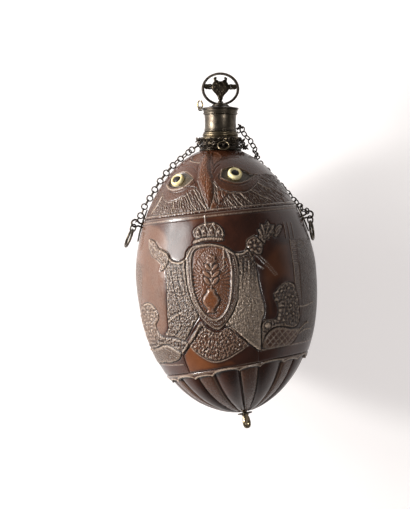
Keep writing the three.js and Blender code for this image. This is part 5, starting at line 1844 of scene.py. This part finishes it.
def plate_outline(tall, wide):
    half = [
        ((0, -tall), (wide * 0.75, -tall * 0.8), (wide * 0.5, -tall * 0.42)),
        ((wide * 0.5, -tall * 0.42), (wide * 1.25, -tall * 0.25), (wide, 0)),
        ((wide, 0), (wide * 1.25, tall * 0.25), (wide * 0.5, tall * 0.42)),
        ((wide * 0.5, tall * 0.42), (wide * 0.75, tall * 0.8), (0, tall)),
    ]
    spots = []
    for a, b, c in half:
        for t in np.linspace(0, 1, 14, endpoint=False):
            spots.append(bent(a, b, c, t))
    spots = np.array(spots)
    return np.vstack([spots, [[0, tall]], spots[1:][::-1] * (-1, 1)])


class FLASK_OT_mounts(bpy.types.Operator):
    """Make the side plates, the lugs through them and their hanging links and rings"""

    bl_idname = "flask.mounts"
    bl_label = "Side mounts"

    def execute(self, context):
        for side, spec in SIDES.items():
            foot, out, up, across = mount_frame(side)
            edge = plate_outline(PLATE_LENGTH / 2, PLATE_WIDTH / 2)
            middle = float(skin_length(LUG_SECTION))
            rows = []
            for scale, height in PLATE_RISE:
                spots = edge * scale
                section = skin_section(middle - spots[:, 1])
                around = spec["around"] + spots[:, 0] / egg_radius(section)
                rows.append(on_nut(section, around, height))
            make("side_mount_plate_" + side, [sweep(rows)], "silver",
                 nodes=("side_plate_" + side,), slot="silver")
            at = lambda reach, rise: foot + reach * out + rise * up
            inside = -SHELL_WALL - SEAT_GAP - 2 * LUG_WIRE
            half = [(inside - 0.3, LUG_LEGS + LUG_CLENCH), (inside, LUG_LEGS + LUG_CLENCH * 0.5),
                    (inside + LUG_WIRE, LUG_LEGS),
                    (inside + 3 * LUG_WIRE, LUG_LEGS), (0, LUG_LEGS),
                    (LUG_REACH - LUG_EYE * 1.25, LUG_LEGS)]
            neck = math.asin(LUG_LEGS / LUG_EYE)
            for turn in (neck * 1.5, 50 * DEG, 80 * DEG, 110 * DEG, 145 * DEG):
                half.append((LUG_REACH - LUG_EYE * math.cos(turn), LUG_EYE * math.sin(turn)))
            line = [at(a, b) for a, b in half] + [at(LUG_REACH + LUG_EYE, 0)]
            line += [at(a, -b) for a, b in reversed(half)]
            make("side_mount_lug_" + side, [rod(wire_line(line), LUG_WIRE * 0.92)], "dark",
                 nodes=("side_lug_" + side,), slot="dark_silver")
            sign, lean = spec["sign"], spec["lean"]
            way = np.array([sign * math.sin(lean), 0, -math.cos(lean)])
            front = np.array([0.0, -1.0, 0.0])
            level = np.cross(way, front)
            for name, radius, wire, turn, drop in HANGING:
                centre = at(LUG_REACH, 0) + way * drop
                angle = sign * turn
                flat = math.cos(angle) * level + math.sin(angle) * -front
                make(f"hanging_{name}_{side}", [hoop(centre, flat, way, radius, wire, 96)],
                     "silver", f"{side}_{name}", (f"side_{name}_{side}",), "silver")
        return {"FINISHED"}


class Route:
    """A smooth line through spots, whose places and directions are found by distance."""

    STEPS = 2000

    def __init__(self, spots):
        self.spots = np.array(spots, float)
        samples = np.array([self.at(k / self.STEPS) for k in range(self.STEPS + 1)])
        gaps = np.linalg.norm(np.diff(samples, axis=0), axis=1)
        self.lengths = np.concatenate([[0], np.cumsum(gaps)])

    def at(self, share):
        spots = self.spots
        last = len(spots) - 1
        place = last * share
        k = min(int(place), last - 1)
        t = place - k
        before = spots[k - 1] if k > 0 else 2 * spots[0] - spots[1]
        after = spots[k + 2] if k + 2 <= last else 2 * spots[last] - spots[last - 1]
        a, b, c, d = before, spots[k], spots[k + 1], after
        gap = [max(np.linalg.norm(q - p) ** 0.5, 1e-4) for p, q in ((a, b), (b, c), (c, d))]
        start = ((b - a) / gap[0] - (c - a) / (gap[0] + gap[1]) + (c - b) / gap[1]) * gap[1]
        end = ((c - b) / gap[1] - (d - b) / (gap[1] + gap[2]) + (d - c) / gap[2]) * gap[1]
        square = -3 * b + 3 * c - 2 * start - end
        cube = 2 * b - 2 * c + start + end
        return b + t * (start + t * (square + t * cube))

    def share_at(self, distance):
        return float(np.interp(distance, self.lengths, np.linspace(0, 1, self.STEPS + 1)))

    def way_at(self, distance):
        share = self.share_at(distance)
        return direction(self.at(min(1, share + 1e-4)) - self.at(max(0, share - 1e-4)))


def chain_stretches():
    """Up the left shoulder, twice round the neck, over a slack loop, down the right shoulder."""
    grown = lambda section, around, grow: nut_place(section, around, egg_radius(section, grow))

    def hook(side):
        foot, out, up, across = mount_frame(side)
        away = np.array([-SIDES[side]["sign"] * math.cos(HOOK_TURN), 0, math.sin(HOOK_TURN)])
        return foot + LUG_REACH * out + (LUG_EYE + CHAIN_WIRE + HOOK_GAP) * away

    plate_top = LUG_SECTION - PLATE_LENGTH / 2

    def on_shoulder(share, around):
        section = LUG_SECTION * share
        over = float(smooth(section, plate_top - 2 * CHAIN_LINK, plate_top - CHAIN_LINK))
        return grown(section, around * DEG, SHOULDER_GAP + over * PLATE_THICKNESS)

    wrap_radius = COLLAR_WAIST + WRAP_GAP
    wrap_base = COLLAR + WRAP_LOW

    def wrap(turn, low):
        around = turn * DEG
        spread = wrap_radius + low * WRAP_SPREAD
        height = wrap_base + (1 - low) * WRAP_RISE + CHAIN_WIRE * math.sin(3 * around)
        return np.array([spread * math.sin(around), -spread * math.cos(around), height])

    left = [hook("left")]
    left += [on_shoulder(0.85 - 0.105 * k, -90 + 16 * 0.105 * k) for k in range(7)]
    left.append(on_shoulder(0.148, -76))
    lower = [wrap(-62 + 20 * k, 1) for k in range(15)]
    upper = [wrap(265 + 20 * k, 0) for k in range(13)]
    crest = TUBE + TUBE_HEIGHT * 0.4
    beside = TUBE_RADIUS + 2 * CHAIN_LINK
    slack = [
        (beside * 0.75, beside * 0.72, COLLAR + COLLAR_HEIGHT * 0.85),
        (beside * 0.86, beside * 0.42, crest - CHAIN_LINK),
        (beside * 0.95, beside * 0.12, crest - CHAIN_LINK * 0.45),
        (beside * 1.12, -beside * 0.1, crest - CHAIN_LINK * 3.25),
        (wrap_radius * 1.34, 0, wrap_base + WRAP_RISE * 0.9),
        (wrap_radius * 1.52, CHAIN_LINK, wrap_base - CHAIN_LINK * 0.85),
    ]
    right = []
    for k in range(7):
        share = 0.19 + 0.105 * k
        right.append(on_shoulder(share, 92 + 26 * math.cos((share - 0.19) / 0.75 * math.pi / 2)))
    right += [on_shoulder(0.893, 93), hook("right")]
    return [
        ("chain_left", left, 0), ("chain_wrap_lower", lower, 45), ("chain_wrap_upper", upper, 45),
        ("chain_loop", slack, 45), ("chain_right", right, 0),
    ]


def chain_links():
    """Each stretch's links: the middle, the way along the chain and a way across it."""
    stretches = chain_stretches()
    spots = [spot for _, points, _ in stretches for spot in points]
    route = Route(spots)
    total = route.lengths[-1]
    link_pitch = 2 * (CHAIN_LINK - CHAIN_WIRE)
    loose = link_pitch - 0.22
    pairs = math.floor(total / (link_pitch + 0.16) / 2)
    joints = len(stretches) - 1
    pitch = (total - joints * loose) / (2 * pairs - joints)
    knot, travelled, number = 0, 0.0, 0
    for name, points, roll in stretches:
        knot += len(points)
        share = min(1, (knot - 0.5) / (len(spots) - 1))
        end = route.lengths[int(round(share * Route.STEPS))] + pitch * 0.01
        links = []
        while travelled <= end and number <= 2 * pairs:
            twist = (number + 1) * math.pi / 2 + roll * DEG
            where = min(travelled, total)
            place, way = route.at(route.share_at(where)), route.way_at(where)
            out = np.array([place[0], place[1], 0])
            out = direction(direction(out) - way * (direction(out) @ way))
            plane = out * math.cos(twist) + np.cross(way, out) * math.sin(twist)
            links.append((place, way, np.cross(way, plane)))
            travelled += pitch
            number += 1
        travelled += loose - pitch
        yield name, links


def link_tree(material):
    """Geometry nodes that hang a ring of wire on every spot of a chain."""
    tree = bpy.data.node_groups.new("Chain links", "GeometryNodeTree")
    face = tree.interface
    face.new_socket("Geometry", in_out="INPUT", socket_type="NodeSocketGeometry")
    for name, kind in (("Link radius", "NodeSocketFloat"), ("Link wire", "NodeSocketFloat"),
                       ("Link corners", "NodeSocketInt")):
        face.new_socket(name, in_out="INPUT", socket_type=kind)
    face.new_socket("Geometry", in_out="OUTPUT", socket_type="NodeSocketGeometry")

    nodes = Nodes(tree)
    given = lambda name: nodes.add("NodeGroupInput", output=name)
    loop = nodes.add("GeometryNodeCurvePrimitiveCircle", {"mode": "RADIUS"},
                     {"Resolution": given("Link corners"), "Radius": given("Link radius")})
    wire = nodes.add("GeometryNodeCurvePrimitiveCircle", {"mode": "RADIUS"},
                     {"Resolution": 8, "Radius": given("Link wire")})
    ring = nodes.add("GeometryNodeCurveToMesh", None, {"Curve": loop, "Profile Curve": wire})
    way, normal = (
        nodes.add("GeometryNodeInputNamedAttribute", {"data_type": "FLOAT_VECTOR"},
                  {"Name": name}, output="Attribute")
        for name in ("way", "normal_way")
    )
    turn = nodes.add("FunctionNodeAxesToRotation", {"primary_axis": "Z", "secondary_axis": "X"},
                     {"Primary Axis": normal, "Secondary Axis": way})
    hung = nodes.add("GeometryNodeInstanceOnPoints", None,
                     {"Points": given("Geometry"), "Instance": ring, "Rotation": turn})
    real = nodes.add("GeometryNodeRealizeInstances", None, {"Geometry": hung})
    smoothed = nodes.add("GeometryNodeSetShadeSmooth", None, {"Geometry": real})
    coated = nodes.add("GeometryNodeSetMaterial", None,
                       {"Geometry": smoothed, "Material": material})
    nodes.add("NodeGroupOutput", None, {"Geometry": coated})
    return tree


def grow_links(name, links, tree):
    """The mesh of one stretch, grown by the tree from a spot for every link."""
    seed = bpy.data.meshes.new(name + "_spots")
    seed.from_pydata([tuple(spot * MM) for spot, _, _ in links], [], [])
    for field, index in (("way", 1), ("normal_way", 2)):
        layer = seed.attributes.new(field, "FLOAT_VECTOR", "POINT")
        layer.data.foreach_set("vector", np.array([link[index] for link in links]).ravel())
    carrier = bpy.data.objects.new(name + "_spots", seed)
    bpy.context.collection.objects.link(carrier)
    nodes = carrier.modifiers.new("Links", "NODES")
    nodes.node_group = tree
    values = {"Link radius": sizes().link_radius, "Link wire": sizes().link_wire,
              "Link corners": sizes().link_corners}
    for item in tree.interface.items_tree:
        if item.in_out == "INPUT" and item.name in values:
            nodes[item.identifier] = values[item.name]
    bpy.context.view_layer.update()
    grown = carrier.evaluated_get(bpy.context.evaluated_depsgraph_get())
    mesh = bpy.data.meshes.new_from_object(grown)
    mesh.name = name
    carrier.modifiers.remove(nodes)
    bpy.data.objects.remove(carrier)
    bpy.data.meshes.remove(seed)
    for field in ("way", "normal_way"):
        if field in mesh.attributes:
            mesh.attributes.remove(mesh.attributes[field])
    return mesh


class FLASK_OT_chain(bpy.types.Operator):
    """Make the chain's five stretches and the broken ring that lies on its turns"""

    bl_idname = "flask.chain"
    bl_label = "Chain"

    def execute(self, context):
        tree = link_tree(palette().get("chain"))
        for name, links in chain_links():
            mesh = grow_links(name + "_links", links, tree)
            piece = bpy.data.objects.new(name + "_links", mesh)
            bpy.context.collection.objects.link(piece)
            place(piece, "flask", (name,), "chain")
        radius, wire, lean, start, stop, across = WRAP_RING
        level, rise = np.array([1.0, 0, 0]), np.array([0, math.cos(lean), math.sin(lean)])
        out = COLLAR_WAIST + WRAP_GAP + WRAP_SPREAD + CHAIN_LINK + 2 * CHAIN_WIRE + 0.42
        centre = np.array([across, -out, COLLAR + WRAP_LOW])
        make("chain_broken_ring", [hoop(centre, level, rise, radius, wire, 80, start, stop)],
             "gilt", nodes=("chain_ring",), slot="gilt_silver")
        return {"FINISHED"}


class FLASK_OT_foot(bpy.types.Operator):
    """Make the petalled washer and the drop-shaped loop under the nut"""

    bl_idname = "flask.foot"
    bl_label = "Foot"

    def execute(self, context):
        tip = nut_place(NUT_LENGTH, 0.0, 0.0)
        x = np.array([math.cos(NUT_BEND), 0, math.sin(NUT_BEND)])
        z = np.array([-math.sin(NUT_BEND), 0, math.cos(NUT_BEND)])
        y = np.array([0, 1.0, 0])
        dip = lambda turn: 0.12 * (1 - np.abs(np.cos(4 * turn)))
        petals = lambda turn, radius, height: -dip(turn) * radius * (radius > 2.2)
        washer = softened([(1.4, -1.0), (3.3, -1.0), (3.6, -0.8), (3.6, -0.45), (3.4, -0.3),
                           (1.4, -0.3)], 0.15, True)
        make("foot_petal_washer", [turned(washer, 128, True, (tip, x, y, z), petals)],
             "silver", nodes=("foot_washer",), slot="silver")
        below, half, low = -1.1, 2.3, -4.7
        t = np.linspace(0, 1, 24, endpoint=False)[:, None]
        arc = math.pi + math.pi * np.linspace(0, 1, 40, endpoint=False)
        drop = np.vstack([
            bent((-half * 0.5, 0), (-half * 1.15, -2.45), (-half, low), t),
            np.stack([half * np.cos(arc), low + half * np.sin(arc)], 1),
            bent((half, low), (half * 1.15, -2.45), (half * 0.5, 0), t),
            np.linspace((half * 0.5, 0), (-half * 0.5, 0), 10, endpoint=False),
        ])
        angle = np.arctan2(drop[:, 1] - low, drop[:, 0])
        hole = np.stack([0.85 * np.cos(angle), low + 0.85 * np.sin(angle)], 1)
        turn = 52 * DEG
        side, thick = math.cos(turn) * x + math.sin(turn) * y, -math.sin(turn) * x + math.cos(turn) * y
        section = softened([(1, -0.6), (1, 0.6), (0.8, 0.95), (0.25, 0.95), (0, 0.7), (0, -0.7),
                            (0.25, -0.95), (0.8, -0.95)], 0.25, True)
        rows = []
        for share, depth in section:
            flat = hole + (drop - hole) * share
            rows.append(tip + flat[:, :1] * side + depth * thick + (below + flat[:, 1:]) * z)
        peg = softened([(0, below - 1.1), (1.1, below - 1.1), (1.1, 5.1), (0.8, 5.4), (0, 5.4)],
                       0.15)
        neck = softened([(0, below - 0.75), (1.35, below - 0.75), (1.75, below - 0.45),
                         (1.8, below - 0.1), (1.6, below), (0, below)], 0.12)
        make("foot_drop_loop", [sweep(rows, True), turned(peg, 48, frame=(tip, x, y, z)),
                                turned(neck, 48, frame=(tip, x, y, z))],
             "gilt", nodes=("foot_loop",), slot="gilt_silver")
        return {"FINISHED"}


# The stage, in metres: the paper, the camera and the lamps.
PAPER_HALF = 0.9
PAPER_BACK = 0.0475
CAMERA_X = -0.0075
CAMERA_Z = -0.0159
CAMERA_AWAY = 1.2
VIEW_HEIGHT = 0.2474
SENSOR_HEIGHT = 24
LAMP_TARGET = (0.005, 0, -0.03)
# Each lamp: its place, its width and height, its power in watts and its colour.
LAMPS = {
    "window": ((-0.71, -0.25, 0.28), (0.54, 0.34), 6.2, (1.0, 0.985, 0.965)),
    "left_lamp": ((-0.75, -0.27, -0.01), (0.16, 0.14), 9.5, (1.0, 0.985, 0.965)),
    "right_screen": ((0.39, -0.8, -0.14), (0.11, 0.16), 1.9, (1.0, 0.985, 0.97)),
}


def paper_finish():
    """White paper: seen straight it is nearly white, and it keeps the flask's shadow."""
    f = Finish("white_paper")
    grain = f.noise(f.spot(), 0.35, 3.0)
    f.skin(colour=f.mix(grain, (0.59, 0.585, 0.58), (0.61, 0.605, 0.6)), roughness=0.9,
           specular=0.1)
    straight = f.add("ShaderNodeLightPath", output="Is Camera Ray")
    mirrored = f.add("ShaderNodeLightPath", output="Is Glossy Ray")
    glow = f.add("ShaderNodeEmission", None, {"Color": (1, 0.94, 0.93, 1),
                                              "Strength": (straight + mirrored * 0.7) * 0.52})
    both = f.add("ShaderNodeAddShader", None, {0: Value(f, f.shader.outputs[0]), 1: glow})
    clear = f.add("ShaderNodeBsdfTransparent")
    behind = f.add("ShaderNodeNewGeometry", output="Backfacing")
    f.fill(f.output.inputs[0], f.add("ShaderNodeMixShader", None, {0: behind, 1: both, 2: clear}))
    return f.material


def room_world():
    """A dim room, white where it is seen straight or mirrored from the paper's side."""
    world = bpy.data.worlds.new("room")
    world.use_nodes = True
    nodes = Nodes(world.node_tree)
    ray = lambda name: nodes.add("ShaderNodeLightPath", output=name)
    larger = lambda a, b: nodes.add("ShaderNodeMath", {"operation": "MAXIMUM"}, {0: a, 1: b})
    way = nodes.add("ShaderNodeTexCoord", output="Generated")
    depth = nodes.add("ShaderNodeSeparateXYZ", None, {0: way}, output="Y")
    mirrored = ray("Is Glossy Ray") * nodes.step(depth, -0.35, 0.25)
    pale = larger(larger(ray("Is Camera Ray"), ray("Is Transmission Ray")), mirrored)
    room = nodes.add("ShaderNodeBackground", None, {0: (1.0, 0.97, 0.94, 1), 1: 0.12})
    white = nodes.add("ShaderNodeBackground", None, {0: (1, 1, 1, 1)})
    choice = nodes.add("ShaderNodeMixShader", None, {0: pale, 1: room, 2: white})
    nodes.add("ShaderNodeOutputWorld", None, {0: choice})
    return world


def aim(thing, place, target):
    thing.location = place
    thing.rotation_euler = (Vector(target) - Vector(place)).to_track_quat("-Z", "Y").to_euler()


def lamp(name, place, size, power, shade):
    light = bpy.data.lights.new(name, "AREA")
    light.shape, light.size, light.size_y = "RECTANGLE", *size
    light.energy, light.color = power, shade
    thing = bpy.data.objects.new(name, light)
    bpy.context.collection.objects.link(thing)
    aim(thing, place, LAMP_TARGET)


class FLASK_OT_stage(bpy.types.Operator):
    """Make the paper behind the flask, the lamps, the world and the camera"""

    bl_idname = "flask.stage"
    bl_label = "Stage"

    def execute(self, context):
        corners = ((-1, -1), (1, -1), (1, 1), (-1, 1))
        mesh = bpy.data.meshes.new("paper")
        mesh.from_pydata([(x * PAPER_HALF, PAPER_BACK, z * PAPER_HALF) for x, z in corners],
                         [], [(0, 1, 2, 3)])
        mesh.materials.append(paper_finish())
        paper = bpy.data.objects.new("paper", mesh)
        context.collection.objects.link(paper)
        context.scene.world = room_world()
        for name, values in LAMPS.items():
            lamp(name, *values)
        camera = bpy.data.cameras.new("camera")
        camera.sensor_fit, camera.sensor_height = "VERTICAL", SENSOR_HEIGHT
        camera.lens = SENSOR_HEIGHT * CAMERA_AWAY / VIEW_HEIGHT
        camera.clip_start = 0.05
        thing = bpy.data.objects.new("camera", camera)
        context.collection.objects.link(thing)
        aim(thing, (CAMERA_X, -CAMERA_AWAY, CAMERA_Z), (CAMERA_X, 0, CAMERA_Z))
        context.scene.camera = thing
        context.scene.view_settings.view_transform = "Standard"
        return {"FINISHED"}


STEPS = (
    FLASK_OT_shell, FLASK_OT_eyes, FLASK_OT_neck, FLASK_OT_stopper, FLASK_OT_finial,
    FLASK_OT_mounts, FLASK_OT_chain, FLASK_OT_foot, FLASK_OT_stage,
)


class FLASK_PT_pieces(bpy.types.Panel):
    """The flask's pieces in the sidebar"""

    bl_label = "Carved coconut flask"
    bl_idname = "FLASK_PT_pieces"
    bl_space_type = "VIEW_3D"
    bl_region_type = "UI"
    bl_category = "Flask"

    def draw(self, context):
        for step in STEPS:
            self.layout.operator(step.bl_idname)
        for group in (context.scene.flask_sizes, context.scene.flask_colours):
            box = self.layout.box()
            for field in group.bl_rna.properties.keys():
                if field not in ("rna_type", "name"):
                    box.prop(group, field)


CLASSES = (FlaskSizes, FlaskColours) + STEPS + (FLASK_PT_pieces,)


def register():
    for kind in CLASSES:
        bpy.utils.register_class(kind)
    bpy.types.Scene.flask_sizes = bpy.props.PointerProperty(type=FlaskSizes)
    bpy.types.Scene.flask_colours = bpy.props.PointerProperty(type=FlaskColours)


def unregister():
    del bpy.types.Scene.flask_colours
    del bpy.types.Scene.flask_sizes
    for kind in reversed(CLASSES):
        bpy.utils.unregister_class(kind)


def main():
    register()
    bpy.ops.flask.shell()
    bpy.ops.flask.eyes()
    bpy.ops.flask.neck()
    bpy.ops.flask.stopper()
    bpy.ops.flask.finial()
    bpy.ops.flask.mounts()
    bpy.ops.flask.chain()
    bpy.ops.flask.foot()
    bpy.ops.flask.stage()


if __name__ == "__main__":
    main()
